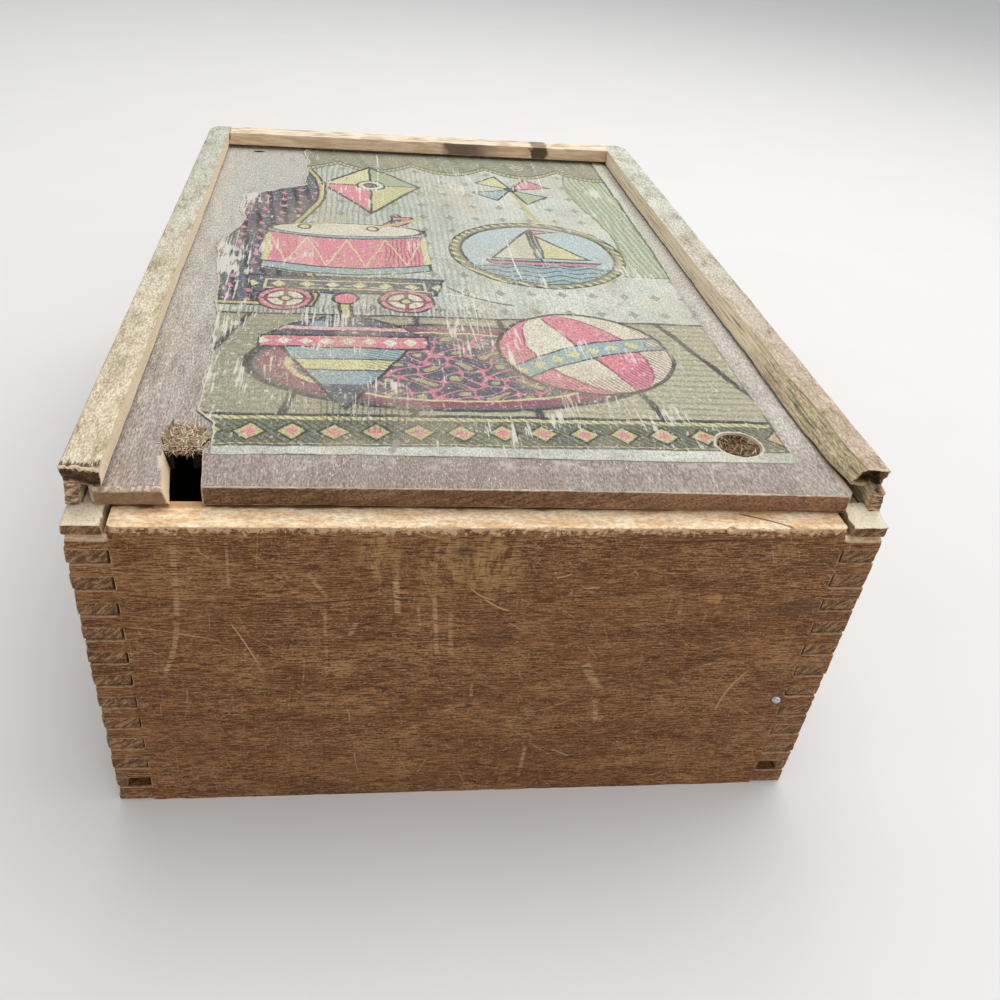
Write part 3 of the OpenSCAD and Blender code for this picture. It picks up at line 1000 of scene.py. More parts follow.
def end_grain(finish, along, colour, tone):
    """Where the boards are cut across, the fibres end in a fine crumb instead of running in lines."""
    face = abs((finish.face_x, finish.face_y)[along]).rise(0.72, 0.9)
    slanted = finish.turned(finish.place, "XY"[along], 42)
    sawn = finish.noise(finish.scaled(slanted, ((1, 0.4)[along], (0.4, 1)[along], 1.7)), 2)
    crumb = sawn * 0.55 + finish.grain((0.5, 0.5, 0.5), 3, rough=0.7) * 0.45
    shade = finish.ramp(crumb, (0.40, darker(tone, 0.45)), (0.5, tone), (0.60, darker(tone, 2.2)))
    return finish.mixed(face, colour, shade), face, crumb


def worn_edges_and_hollow_shade(finish, colour, relief, tone, amount):
    """Bare outer edges are pale where they have been rubbed, and hollows are darkened with painted shade.
    """
    breakup = finish.grain((1.8, 1.8, 1.2), 3, shift=(2, 7, 5))
    bare = (relief + (breakup - 0.5) * 1.2).rise(0.45, 0.95)
    colour = finish.mixed(bare * amount, colour, tone)
    return finish.mixed((-relief).rise(0.2, 0.8) * 0.8, colour, (0.02, 0.01, 0.005))


def inner_face(value, facing, reach):
    """Where a board's face looks into the box."""
    return (value * facing * (-1 / reach)).rise(0.5, 0.8)


# Scratches in the front face: start, end, how far the middle strays, half thickness and strength
FRONT_SCRATCHES = (
    ((-64.3, 70.0), (-57.4, 53.7), 0.2, 0.30, 0.8),
    ((25.4, 80.2), (29.1, 80.6), 0.1, 0.28, 1.0),
    ((-4.6, 81.2), (3.2, 76.4), -1.0, 0.26, 0.85),
    ((-0.5, 77.1), (6.8, 72.7), -0.5, 0.30, 1.0),
    ((6.5, 68.8), (10.5, 66.0), 0.1, 0.22, 0.6),
    ((36.8, 86.4), (38.5, 84.1), 0.1, 0.24, 0.6),
    ((24.2, 18.4), (30.3, 14.9), 0.2, 0.30, 0.8),
    ((17.6, 26.7), (21.2, 28.0), 0.1, 0.26, 0.5),
    ((70.8, 33.0), (77.0, 50.4), 1.6, 0.36, 0.75),
    ((28.9, 60.5), (32.5, 55.3), -0.4, 0.26, 0.5),
    ((-70.0, 92.0), (-67.6, 90.1), 0.2, 0.26, 0.8),
    ((-37.1, 38.6), (-31.6, 43.2), 0.1, 0.28, 0.5),
    ((-34.9, 37.5), (-34.2, 31.6), 0.3, 0.26, 0.5),
    ((-32.6, 19.5), (-31.3, 9.5), -0.4, 0.26, 0.5),
    ((-20.3, 16.6), (-17.3, 9.8), 0.0, 0.26, 0.4),
    ((-11.5, 16.8), (-14.6, 8.4), 0.0, 0.26, 0.4),
    ((17.0, 84.0), (21.3, 85.3), -0.3, 0.32, 0.9),
    ((-18.6, 98.2), (-13.6, 96.4), -0.2, 0.24, 0.8),
    ((-90.0, 68.4), (-65.7, 62.8), 0.6, 0.28, 0.55)
)
# Rubbed strokes, which only show on the ridges of the grain
FRONT_RUBS = (
    ((-75.6, 95.0), (-76.8, 70.0), 0.0, 0.9, 0.6),
    ((-76.8, 71.0), (-82.3, 50.5), 0.8, 0.9, 0.95),
    ((-63.3, 95.2), (-63.7, 80.6), 0.0, 0.5, 0.6),
    ((-54.8, 88.4), (-45.8, 77.0), 0.0, 0.6, 0.45),
    ((-44.9, 86.0), (-39.4, 77.1), 0.0, 0.8, 0.6),
    ((-40.6, 77.0), (-40.2, 48.6), 0.0, 0.6, 0.5),
    ((-23.4, 87.0), (-22.1, 71.0), 0.0, 1.1, 0.95),
    ((-17.2, 74.7), (-16.3, 67.5), 0.0, 0.6, 0.7),
    ((-13.4, 79.9), (-11.3, 56.5), 0.0, 0.8, 0.7),
    ((-8.9, 73.1), (-7.6, 56.9), 0.0, 0.8, 0.6),
    ((-34.7, 63.8), (-32.2, 70.3), 0.0, 0.8, 0.7),
    ((-1.3, 46.6), (-0.9, 41.0), 0.0, 0.6, 0.8),
    ((16.7, 20.5), (16.1, 5.8), 0.0, 0.8, 0.7),
    ((34.3, 39.6), (35.9, 30.5), 0.0, 1.0, 0.8),
    ((29.0, 53.8), (34.9, 42.5), 0.0, 1.8, 0.7),
    ((51.5, 77.3), (51.8, 70.7), 0.0, 0.6, 0.6)
)
# Dark cracks and streaks along its grain
FRONT_STREAKS = (
    ((-89.0, 79.0), (-60.0, 75.6), -0.4, 0.30, 0.8),
    ((-60.0, 75.6), (-25.0, 78.2), -0.9, 0.30, 0.8),
    ((-25.0, 78.2), (-9.0, 77.0), 0.3, 0.30, 0.8),
    ((10.0, 75.2), (47.0, 79.0), 0.8, 0.34, 0.6),
    ((47.0, 79.0), (77.0, 88.4), -0.8, 0.34, 0.6),
    ((77.0, 88.4), (91.0, 88.0), 0.6, 0.34, 0.6),
    ((39.0, 94.7), (81.4, 96.1), 0.6, 0.6, 0.6)
)
# Patches of it worn to golden wood: place, height, half width, half height and strength
FRONT_PATCHES = (
    (-27.0, 91.0, 6.0, 9.0, 0.8), (-11.0, 88.0, 6.5, 11.0, 0.8), (1.0, 88.0, 9.0, 11.0, 0.8),
    (60.6, 76.8, 3.0, 1.6, 0.8), (68.6, 3.1, 3.2, 1.5, 0.8)
)
# Patches stained purple brown, in the same way
FRONT_STAINS = ((85.0, 73.0, 8.0, 3.2, 0.8), (3.0, 64.0, 6.0, 7.0, 0.4), (-6.9, 92.1, 3.4, 1.6, 0.8))
# Patches of fine abrasion, in the same way
FRONT_ABRASIONS = (
    (-37.6, 53.0, 5.4, 3.4, 1.0), (-46.5, 58.0, 8.5, 4.5, 0.6), (-48.0, 88.0, 13.0, 6.0, 0.35),
    (62.0, 86.0, 16.0, 4.0, 0.4), (70.0, 40.0, 13.0, 11.0, 0.5), (-70.0, 44.0, 9.0, 8.0, 0.3),
    (-16.0, 60.0, 9.0, 12.0, 0.4), (20.0, 28.0, 10.0, 6.0, 0.3)
)


def patches_of(finish, spots):
    """Soft-edged ellipses on the front face."""
    patches = []
    for patch_x, patch_z, half_w, half_h, strength in spots:
        across = (finish.x - patch_x) * (1 / half_w)
        up = (finish.z - patch_z) * (1 / half_h)
        patches.append((across * across + up * up).rise(1.5, 0.1) * strength)
    return strongest(patches) * finish.y.rise(10, -10)


def strokes_of(finish, strokes):
    """Strokes on the front face, laid over each other."""
    drawn = [
        finish.stroke(finish.on_front, start, stop, width, bow) * strength
        for start, stop, bow, width, strength in strokes
    ]
    return strongest(drawn) * finish.y.rise(10, -10)


def end_board_finish():
    tones = (
        (0.082, 0.029, 0.009), (0.132, 0.051, 0.017), (0.172, 0.071, 0.025), (0.222, 0.097, 0.036),
        (0.33, 0.165, 0.066)
    )
    finish, colour, height, fibres = wood("end_wood", 0, tones, 1, 0.085)
    x, y, z = finish.x, finish.y, finish.z
    # Long dark lines wander level through the wood
    wander = finish.grain((80, 80, 26), 3, shift=(1, 5, 9))
    wave = (z + wander * 34) / 8.5 % 1
    parts = finish.grain((34, 34, 7), 2, shift=(7, 7, 2)).rise(0.48, 0.62)
    colour = finish.mixed(abs(wave - 0.5).rise(0.045, 0.015) * parts * 0.55, colour, (0.060, 0.025, 0.010))
    broad = finish.grain((60, 60, 3.2), 2, shift=(4, 6, 1)).rise(0.56, 0.72)
    colour = finish.mixed(broad * 0.35, colour, (0.082, 0.034, 0.014))
    reddish = finish.grain((26, 26, 16), 3, shift=(5, 8, 2)).rise(0.5, 0.64)
    colour = finish.mixed(reddish * 0.4, colour, (0.125, 0.046, 0.022))
    # Short dashes of paler wood show along the ridges of the grain where the brown surface has rubbed thin
    ridges = finish.grain((4.6, 4.6, 0.32), 2, 0.15, rough=0.65, shift=(9, 1, 4))
    rubbed = finish.grain((26, 26, 12), 4, 0.8, rough=0.62, shift=(3, 3, 3)).rise(0.44, 0.66)
    rubbed = (rubbed * 0.55).over(patches_of(finish, FRONT_ABRASIONS))
    colour = finish.mixed(
        (ridges + rubbed * 0.12).rise(0.55, 0.61) * (rubbed * 0.4 + 0.45), colour, (0.37, 0.195, 0.08)
    )
    colour = finish.mixed(ridges.rise(0.46, 0.39) * 0.7, colour, (0.056, 0.022, 0.008))
    specks = finish.grain((0.7, 0.7, 0.45), 2, rough=0.7, shift=(2, 5, 7))
    colour = finish.mixed((specks + rubbed * 0.08).rise(0.59, 0.65) * 0.6, colour, (0.40, 0.23, 0.11))
    colour = finish.mixed(specks.rise(0.41, 0.35) * 0.6, colour, (0.055, 0.022, 0.008))
    streaky = finish.grain((2.6, 2.6, 8), 4, 0.6, rough=0.7, shift=(5, 2, 6)).rise(0.40, 0.56)
    golden = patches_of(finish, FRONT_PATCHES) * streaky * ridges.rise(0.38, 0.52)
    colour = finish.mixed(golden, colour, (0.40, 0.235, 0.085))
    purple = patches_of(finish, FRONT_STAINS)
    colour = finish.mixed(purple * 0.6, colour, (0.075, 0.036, 0.027))
    # Fine scratches, and a few that stand out
    broken = ridges.rise(0.42, 0.52)
    lines = []
    for angle, shift in ((-70, 11), (28, 37), (86, 53), (-38, 71)):
        turned = finish.shifted(finish.turned(finish.place, "Y", angle), (shift, shift, shift))
        line = finish.noise(finish.scaled(turned, (1 / 14, 1 / 0.8, 1 / 0.8)), 1.0, warp=0.35)
        lines.append(line.rise(0.70, 0.78))
    marks = (strongest(lines) * 0.6).over(strokes_of(finish, FRONT_RUBS)) * broken
    marks = marks.over(strokes_of(finish, FRONT_SCRATCHES))
    outer = abs(finish.face_y).rise(0.6, 0.9)
    marks = marks * outer
    colour = finish.mixed(strokes_of(finish, FRONT_STREAKS) * outer, colour, (0.058, 0.025, 0.011))
    colour = finish.mixed(marks * 0.9, colour, (0.48, 0.30, 0.155))
    relief = finish.read("relief")
    raw = finish.read("raw")
    colour, end_face, crumb = end_grain(finish, 0, colour, (0.165, 0.080, 0.036))
    # The tops were covered by the lid, and are clean pale wood with a few dark flecks
    top = finish.face_z.rise(0.55, 0.85) * z.rise(90, 98)
    streaks = finish.grain((9, 2.2, 0.9), 3, 0.3, shift=(6, 2, 8))
    clean = finish.ramp(
        streaks, (0.34, (0.80, 0.52, 0.28)), (0.5, (0.94, 0.70, 0.44)), (0.66, (1.0, 0.84, 0.60))
    )
    clean = finish.mottled(clean, (1.6, 0.9, 0.6), 0.78, 1.14, (4, 4, 1))
    fine_specks = finish.grain((0.8, 0.5, 0.5), 3, rough=0.7, shift=(2, 8, 3)).rise(0.56, 0.7)
    clean = finish.mixed(fine_specks * 0.45, clean, (0.46, 0.28, 0.15))
    flecks = finish.grain((2.4, 0.7, 0.7), 2, shift=(1, 8, 3)).rise(0.66, 0.74)
    clean = finish.mixed(flecks * 0.6, clean, (0.36, 0.19, 0.09))
    split = finish.stroke(finish.on_top, (62.4, -141.5), (76.5, -148.0), 0.45, 0.5)
    clean = finish.mixed(split * 0.85, clean, (0.16, 0.075, 0.03))
    # Behind the lid's front edge the top is darkened with painted shadow, except in the slot's mouth, where
    # the wood is orange brown
    under_lid_shadow_and_patch = (y + (finish.grain((5, 2, 2), 3, shift=(3, 1, 6)) - 0.5) * 3).rise(-140.9, -139.6)
    under_lid_shadow_and_patch = under_lid_shadow_and_patch * (1 - y.rise(0, 10))
    mouth = x.rise(-81, -80) * x.rise(-68, -69)
    clean = finish.mixed(under_lid_shadow_and_patch * 0.9, clean, finish.mixed(mouth, (0.10, 0.05, 0.022), (0.50, 0.29, 0.13)))
    colour = finish.mixed(top * (1 - y.rise(-130, -120)), colour, clean)
    # The back board's top and the strip over the lid have yellowed, and the strip is stained round a knot
    lip = y.rise(120, 130) * z.rise(104, 106)
    aged_top = finish.ramp(
        streaks, (0.32, (0.52, 0.39, 0.24)), (0.48, (0.80, 0.66, 0.48)), (0.64, (0.93, 0.80, 0.63))
    )
    colour = finish.mixed(lip, colour, aged_top)
    strip = lip * (-finish.face_y).rise(0.5, 0.8)
    peach = finish.mixed(streaks.rise(0.4, 0.6), (0.62, 0.42, 0.26), (0.78, 0.58, 0.40))
    ends = finish.grain((7, 7, 3), 3, shift=(8, 1, 1))
    stain_line = x + (ends - 0.5) * 9
    stain = stain_line.rise(8, 12) * stain_line.rise(42, 20)
    knot = stain_line.rise(51, 52.5) * stain_line.rise(61, 59)
    peach = finish.mixed(stain * 0.85, peach, (0.10, 0.065, 0.045))
    peach = finish.mixed(knot * 0.9, peach, (0.05, 0.028, 0.016))
    colour = finish.mixed(strip, colour, peach)
    colour = finish.mixed(knot * lip * finish.face_z.rise(0.5, 0.8) * 0.7, colour, (0.12, 0.06, 0.03))
    # Inside, the wood is paler and dusty
    inside = inner_face(y, finish.face_y, 148) * (1 - lip)
    dusty = finish.mixed(fibres.rise(0.35, 0.65), (0.33, 0.21, 0.115), (0.50, 0.35, 0.21))
    colour = finish.mixed(inside * 0.85, colour, dusty)
    chipped = finish.grain((2.2, 1, 1), 3, shift=(6, 6, 1)).rise(0.4, 0.6)
    rim = finish.mixed(chipped, (0.42, 0.24, 0.115), (0.85, 0.62, 0.38))
    colour = finish.mixed(raw * (1 - top), colour, rim)
    fringe = z + (finish.grain((1.5, 1.5, 1.5), 3, rough=0.7, shift=(7, 1, 7)) - 0.5) * 9
    fringe = fringe.rise(LEDGE - 1.7, LEDGE - 0.5) * outer * (1 - y.rise(0, 10))
    colour = finish.mixed(fringe * 0.75, colour, (0.62, 0.42, 0.24))
    colour = worn_edges_and_hollow_shade(finish, colour, relief, (0.42, 0.27, 0.14), 0.75 * (1 - top))
    # The corner fingers' upper edges get a painted highlight, broken up in patches
    highlight_patches = finish.grain((1.2, 1.2, 1.2), 3, rough=0.7, shift=(4, 4, 9)).rise(0.36, 0.6) * 0.6 + 0.2
    finger_top_highlight = abs(x).rise(88.7, 89.4) * y.rise(-147.2, -147.6)
    finger_top_highlight = finger_top_highlight * finish.face_z.rise(0.4, 0.75) * z.rise(97, 96)
    colour = finish.mixed(finger_top_highlight * highlight_patches, colour, (0.52, 0.37, 0.23))
    high = height * 0.7 + ridges * 0.5 + marks * 0.2 + crumb * end_face * 1.2
    normal = finish.bump(high, 0.3, 0.9)
    return finish.surface(
        Base_Color=colour, Roughness=0.70 + fibres * 0.16, Normal=normal, Specular_IOR_Level=0.22
    )


def side_board_finish():
    tones = (
        (0.055, 0.025, 0.010), (0.12, 0.058, 0.024), (0.165, 0.082, 0.036), (0.22, 0.118, 0.056),
        (0.36, 0.22, 0.115)
    )
    finish, colour, height, fibres = wood("side_wood", 1, tones, 2)
    x, y, z = finish.x, finish.y, finish.z
    relief = finish.read("relief")
    raw = finish.read("raw")
    scuffs = finish.grain((14, 30, 12), 4, 0.8, rough=0.62, shift=(3, 3, 3)).rise(0.52, 0.72)
    dashes = finish.grain((0.8, 4, 0.8), 3, 0.2, shift=(9, 1, 4)).rise(0.42, 0.64)
    colour = finish.mixed(scuffs * dashes * 0.6, colour, (0.36, 0.23, 0.11))
    colour, end_face, crumb = end_grain(finish, 1, colour, (0.165, 0.088, 0.041))
    # Inside, the wood is paler and dusty, and the lid's groove has gone grey green
    inside = inner_face(x, finish.face_x, 100)
    dusty = finish.mixed(fibres.rise(0.35, 0.65), (0.33, 0.22, 0.125), (0.50, 0.36, 0.22))
    colour = finish.mixed(inside * 0.85, colour, dusty)
    lines = finish.grain((0.6, 30, 0.6), 3, 0.25, rough=0.6, shift=(2, 2, 7))
    straw = finish.ramp(
        lines, (0.35, (0.22, 0.17, 0.10)), (0.43, (0.50, 0.45, 0.27)), (0.5, (0.82, 0.73, 0.48)),
        (0.56, (0.52, 0.35, 0.20)), (0.66, (0.94, 0.76, 0.52))
    )
    straw = finish.mottled(straw, (0.5, 2.2, 0.5), 0.7, 1.25, (2, 8, 5))
    in_groove = z.rise(LEDGE - 0.6, LEDGE + 0.2) * z.rise(LIP_UNDER + 0.8, LIP_UNDER - 0.2)
    colour = finish.mixed(inside * in_groove, colour, straw)
    # Dust and light have turned the upper faces grey behind and cream in front
    top = finish.face_z.rise(0.55, 0.85) * z.rise(94, 99)
    streaks = finish.grain((0.9, 5, 0.9), 4, 0.5, rough=0.65, shift=(4, 4, 4))
    clouds = finish.grain((7, 16, 7), 4, 0.6, rough=0.6, shift=(6, 3, 2))
    forward = y.rise(120, -140)
    left_top = finish.mixed(forward, (0.60, 0.60, 0.52), (0.74, 0.63, 0.46))
    right_top = finish.mixed(forward, (0.68, 0.70, 0.62), (0.62, 0.49, 0.38))
    left = x.rise(10, -10)
    shade = finish.ramp(
        streaks * 0.45 + clouds * 0.55,
        (0.36, (0.50, 0.44, 0.34)), (0.46, (0.80, 0.78, 0.72)), (0.56, (1.0, 1.0, 1.0))
    )
    worn = finish.mixed(1.0, finish.mixed(left, right_top, left_top), shade, "MULTIPLY")
    worn = finish.mottled(worn, (0.45, 1.3, 0.45), 0.70, 1.26, (3, 6, 1))
    greenish = finish.grain((7, 12, 7), 2, shift=(7, 2, 9)).rise(0.54, 0.68)
    worn = finish.mixed(greenish * 0.2, worn, (0.50, 0.52, 0.38))
    ledge = z.rise(103, 101.5)
    speckle = finish.grain((0.5, 0.9, 0.5), 3, rough=0.7, shift=(1, 2, 8))
    cream = finish.ramp(
        speckle, (0.32, (0.54, 0.40, 0.25)), (0.40, (0.92, 0.76, 0.55)), (0.56, (1.0, 0.90, 0.70))
    )
    cream = finish.mixed((1 - left) * clouds.rise(0.4, 0.6) * 0.5, cream, (0.72, 0.74, 0.60))
    worn = finish.mixed(ledge, worn, cream)
    colour = finish.mixed(top, colour, worn)
    chafed = finish.grain((2.4, 9, 2.4), 4, 0.8, rough=0.65, shift=(1, 9, 3)).rise(0.62, 0.70)
    colour = finish.mixed(chafed * top * (1 - ledge) * 0.55, colour, (0.30, 0.19, 0.10))
    # Fine splinters stand at the left lip's end, with dark gaps between them
    gaps = finish.grain((0.5, 2.4, 0.5), 2, shift=(3, 5, 5))
    notch = (y + (gaps - 0.5) * 7).rise(-140.4, -141.6) * left * top * (1 - ledge)
    colour = finish.mixed(notch * 0.9, colour, (0.07, 0.034, 0.015))
    # The lip's inner side is clean wood on the left, and tan with green and straw streaks on the right
    lip = z.rise(LIP_UNDER - 1.2, LIP_UNDER - 0.6)
    clean = finish.mixed(speckle.rise(0.34, 0.56), (0.84, 0.61, 0.39), (1.0, 0.86, 0.64))
    tan = finish.ramp(
        lines, (0.34, (0.40, 0.31, 0.19)), (0.42, (0.78, 0.66, 0.45)), (0.52, (0.95, 0.80, 0.57)),
        (0.64, (1.0, 0.90, 0.70))
    )
    streaked = finish.mixed((y + (clouds - 0.5) * 90).rise(-55, -105), tan, straw)
    colour = finish.mixed(inside * lip, colour, finish.mixed(left, streaked, clean))
    # The torn ends are nearly black in the lip, dark wood deepened with painted shade of its undercut end,
    # and tan in the web below it
    cracks = finish.grain((2.2, 9, 0.8), 4, 0.4, rough=0.7, shift=(5, 5, 5))
    shaded_lip_end = finish.ramp(
        cracks, (0.36, (0.018, 0.010, 0.006)), (0.5, (0.065, 0.030, 0.014)),
        (0.62, (0.17, 0.08, 0.035)), (0.72, (0.36, 0.21, 0.11))
    )
    tan_end = finish.ramp(
        cracks, (0.36, (0.05, 0.025, 0.012)), (0.46, (0.20, 0.11, 0.055)),
        (0.54, (0.40, 0.25, 0.15)), (0.66, (0.72, 0.54, 0.36))
    )
    broken = finish.mixed(z.rise(LIP_UNDER - 0.6, LIP_UNDER + 0.3), tan_end, shaded_lip_end)
    rim = (z + (speckle - 0.5) * 3.4).rise(SIDE_H - 1.1, SIDE_H - 0.4)
    broken = finish.mixed(rim, broken, (0.85, 0.69, 0.47))
    colour = finish.mixed(raw.rise(0.25, 0.7), colour, broken)
    colour = worn_edges_and_hollow_shade(finish, colour, relief, (0.60, 0.42, 0.25), 0.6 * (1 - end_face))
    high = height * 0.75 * (1 - top) + streaks * top * 0.6 + crumb * end_face * 1.2 + raw * cracks
    normal = finish.bump(high, 0.28, 0.9)
    return finish.surface(
        Base_Color=colour, Roughness=0.72 + fibres * 0.14, Normal=normal, Specular_IOR_Level=0.22
    )


def lid_finish():
    tones = (
        (0.16, 0.12, 0.10), (0.27, 0.22, 0.19), (0.36, 0.305, 0.27), (0.45, 0.40, 0.36), (0.62, 0.57, 0.51)
    )
    finish, colour, height, fibres = wood("lid_wood", 1, tones, 3, 0.11)
    x, y, z = finish.x, finish.y, finish.z
    relief = finish.read("relief")
    raw = finish.read("raw")
    # A grey haze lies in patches and thickens with a painted sheen towards the back, and the wood is a
    # warmer purple in front
    haze = finish.grain((9, 26, 9), 4, 0.4, shift=(8, 8, 1))
    far = y.rise(-150, 130)
    colour = finish.mixed((haze * 0.9 + far * 0.55 - 0.2).rise(0.15, 0.7) * 0.8, colour, (0.50, 0.50, 0.45))
    plum = finish.grain((12, 20, 12), 3, shift=(2, 8, 6)).rise(0.42, 0.62) * y.rise(-60, -125)
    colour = finish.mixed(plum * 0.45, colour, (0.34, 0.265, 0.26))
    brown = finish.grain((3.0, 14, 3.0), 3, 0.4, shift=(3, 1, 9)).rise(0.56, 0.68)
    colour = finish.mixed(brown * 0.35, colour, (0.34, 0.235, 0.165))
    middle = abs(x + 8).rise(46, 10) * y.rise(-112, -132)
    colour = finish.mixed(middle * 0.35, colour, (0.30, 0.22, 0.17))
    rubbed = finish.grain((3, 20, 3), 3, 0.4, shift=(6, 1, 6)) + x.rise(-80, 60) * 0.12
    rubbed = abs(x).rise(74, 86) * rubbed.rise(0.4, 0.62)
    colour = finish.mixed(rubbed * 0.4, colour, (0.62, 0.57, 0.49))
    colour = finish.mixed(y.rise(-112, -136) * 0.35, colour, (0.29, 0.225, 0.19))
    margin = x.rise(82, 87) * y.rise(90, 40) * y.rise(-126, -112)
    colour = finish.mixed(margin * 0.5, colour, (0.70, 0.67, 0.60))
    flecks = finish.grain((0.6, 2.0, 0.6), 3, rough=0.7, shift=(5, 1, 7)).rise(0.60, 0.68)
    colour = finish.mixed(flecks * 0.6, colour, (0.76, 0.72, 0.64))
    colour = finish.mottled(colour, (0.42, 1.5, 0.42), 0.66, 1.32, (1, 2, 4))
    # The right edge has rubbed down to tan wood
    tan_edge = (x + (finish.grain((1, 5, 1), 3, shift=(9, 9, 3)) - 0.5) * 5).rise(90.4, 91.8)
    tan_edge = tan_edge * y.rise(90, 20)
    colour = finish.mixed(tan_edge * 0.75, colour, (0.50, 0.35, 0.22))
    pale_scrap = finish.stroke(finish.on_top, (-80.8, -126.5), (-79.6, -132.5), 1.3, 0.3)
    colour = finish.mixed(pale_scrap * 0.7, colour, (0.68, 0.66, 0.53))
    # A strip along each side was kept clean by the grooves, and the glue has left a pale bloom in front
    bloom = finish.stroke(finish.on_top, (-66, -131), (82, -130.6), 3.4, 0.6)
    spread = finish.grain((4, 4, 4), 4, rough=0.65, shift=(2, 2, 2)).rise(0.5, 0.62)
    colour = finish.mixed(bloom * spread * 0.4, colour, (0.70, 0.655, 0.58))
    crack = finish.stroke(finish.on_top, *LID_CRACK, 0.42)
    colour = finish.mixed(crack * 0.9 * finish.face_z.rise(0.1, 0.4), colour, (0.06, 0.04, 0.03))
    # The front edge is cut across the grain, with the saw's slanting marks
    slant = finish.turned(finish.place, "Y", 20)
    saw = finish.noise(finish.scaled(slant, (1 / 5, 1, 1 / 0.9)), 3.0)
    edge_face = (-finish.face_y).rise(0.6, 0.9)
    broad = finish.grain((30, 30, 8), 3, shift=(1, 6, 2))
    sawn = finish.ramp(
        saw * 0.5 + broad * 0.5,
        (0.38, (0.095, 0.042, 0.017)), (0.5, (0.155, 0.074, 0.034)), (0.62, (0.235, 0.125, 0.062))
    )
    sawn = finish.mixed(x.rise(30, 84) * 0.45, sawn, (0.27, 0.125, 0.062))
    sawn = finish.mottled(sawn, (0.7, 0.7, 0.4), 0.55, 1.5, (3, 7, 1))
    speckle = finish.grain((0.8, 0.8, 0.8), 3, rough=0.7, shift=(7, 5, 2))
    sawn = finish.mixed(speckle.rise(0.56, 0.68) * 0.4, sawn, (0.36, 0.24, 0.13))
    sawn = finish.mixed(x.rise(-66, -84) * 0.4, sawn, (0.34, 0.22, 0.115))
    colour = finish.mixed(edge_face, colour, sawn)
    # Along its lower edge the front face is painted dark, as shade under the lid's edge
    shaded_lower_edge = edge_face * z.rise(LID_LOW[2] + 1.1, LID_LOW[2] + 0.3)
    colour = finish.mixed(shaded_lower_edge * 0.8, colour, (0.03, 0.015, 0.008))
    # The sides and the slot's walls are peach coloured where they have broken
    wall = abs(finish.face_x).rise(0.6, 0.85)
    streaked = finish.grain((3, 6, 1.6), 3, shift=(4, 3, 3)).rise(0.38, 0.6)
    peach = finish.mixed(streaked, (0.50, 0.31, 0.175), (0.80, 0.585, 0.385))
    colour = finish.mixed(wall * 0.9, colour, peach)
    in_slot = x.rise(-84, -82) * x.rise(-66, -68) * y.rise(-118, -122)
    colour = finish.mixed(wall * in_slot * 0.85, colour, (1.0, 0.78, 0.53))
    breakup = finish.grain((1.0, 1.8, 1.0), 3, shift=(2, 7, 5))
    chipped = finish.mixed(breakup.rise(0.4, 0.6), (0.46, 0.28, 0.165), (0.86, 0.70, 0.52))
    colour = finish.mixed(raw.rise(0.1, 0.6) * (1 - edge_face), colour, chipped)
    colour = worn_edges_and_hollow_shade(finish, colour, relief, (0.66, 0.50, 0.36), 0.6)
    # The slot's end wall below the lid's top is painted near black, as shade in the deep slot
    shaded_slot_end = (-finish.face_y).rise(0.25, 0.6) * y.rise(-131, -128)
    shaded_slot_end = shaded_slot_end * x.rise(-82, -81.2) * x.rise(-69.4, -70.2)
    colour = finish.mixed(shaded_slot_end * z.rise(LID_HIGH[2], LID_HIGH[2] - 0.4), colour, (0.006, 0.004, 0.003))
    under = (-finish.face_z).rise(0.5, 0.8)
    colour = finish.mixed(under * 0.8, colour, (0.42, 0.29, 0.18))
    high = height * 0.8 + saw * edge_face * 0.8
    normal = finish.bump(high, 0.2, 0.85)
    return finish.surface(
        Base_Color=colour, Roughness=0.62 + fibres * 0.16, Normal=normal, Specular_IOR_Level=0.35
    )


def bottom_finish():
    tones = (
        (0.16, 0.10, 0.05), (0.27, 0.175, 0.095), (0.36, 0.245, 0.14), (0.44, 0.32, 0.195),
        (0.56, 0.43, 0.28)
    )
    finish, colour, height, fibres = wood("bottom_wood", 0, tones, 4)
    stain = finish.grain((50, 50, 50), 4, 0.5, shift=(1, 2, 3)).rise(0.52, 0.7)
    colour = finish.mixed(stain * 0.5, colour, (0.20, 0.125, 0.07))
    dust = abs(finish.x).rise(60, 92).over(abs(finish.y).rise(110, 139))
    colour = finish.mixed(dust * 0.45, colour, (0.14, 0.10, 0.07))
    normal = finish.bump(height, 0.18, 0.8)
    return finish.surface(
        Base_Color=colour, Roughness=0.72 + fibres * 0.14, Normal=normal, Specular_IOR_Level=0.25
    )


def torn_finish():
    """The crumbly torn wood of a broken peg, dark in its hollows."""
    finish = Finish("torn_wood")
    crumb = finish.grain((0.9, 1.5, 0.9), 4, rough=0.7)
    colour = finish.ramp(
        crumb, (0.36, (0.035, 0.018, 0.009)), (0.47, (0.16, 0.092, 0.046)),
        (0.56, (0.33, 0.215, 0.12)), (0.68, (0.56, 0.43, 0.28))
    )
    # The left peg is painted paler, as light on its torn wood, and its hollow underside is painted black,
    # as shade
    lit_left_peg = finish.x.rise(20, -20)
    colour = finish.mixed(lit_left_peg * 0.35, colour, (0.62, 0.48, 0.31))
    deep = lit_left_peg * finish.z.rise(LID_HIGH[2] - 0.5, LID_HIGH[2] - 1.6)
    colour = finish.mixed(deep * 0.97, colour, (0.008, 0.005, 0.004))
    normal = finish.bump(crumb, 0.5, 0.9)
    return finish.surface(Base_Color=colour, Roughness=0.85, Normal=normal, Specular_IOR_Level=0.2)


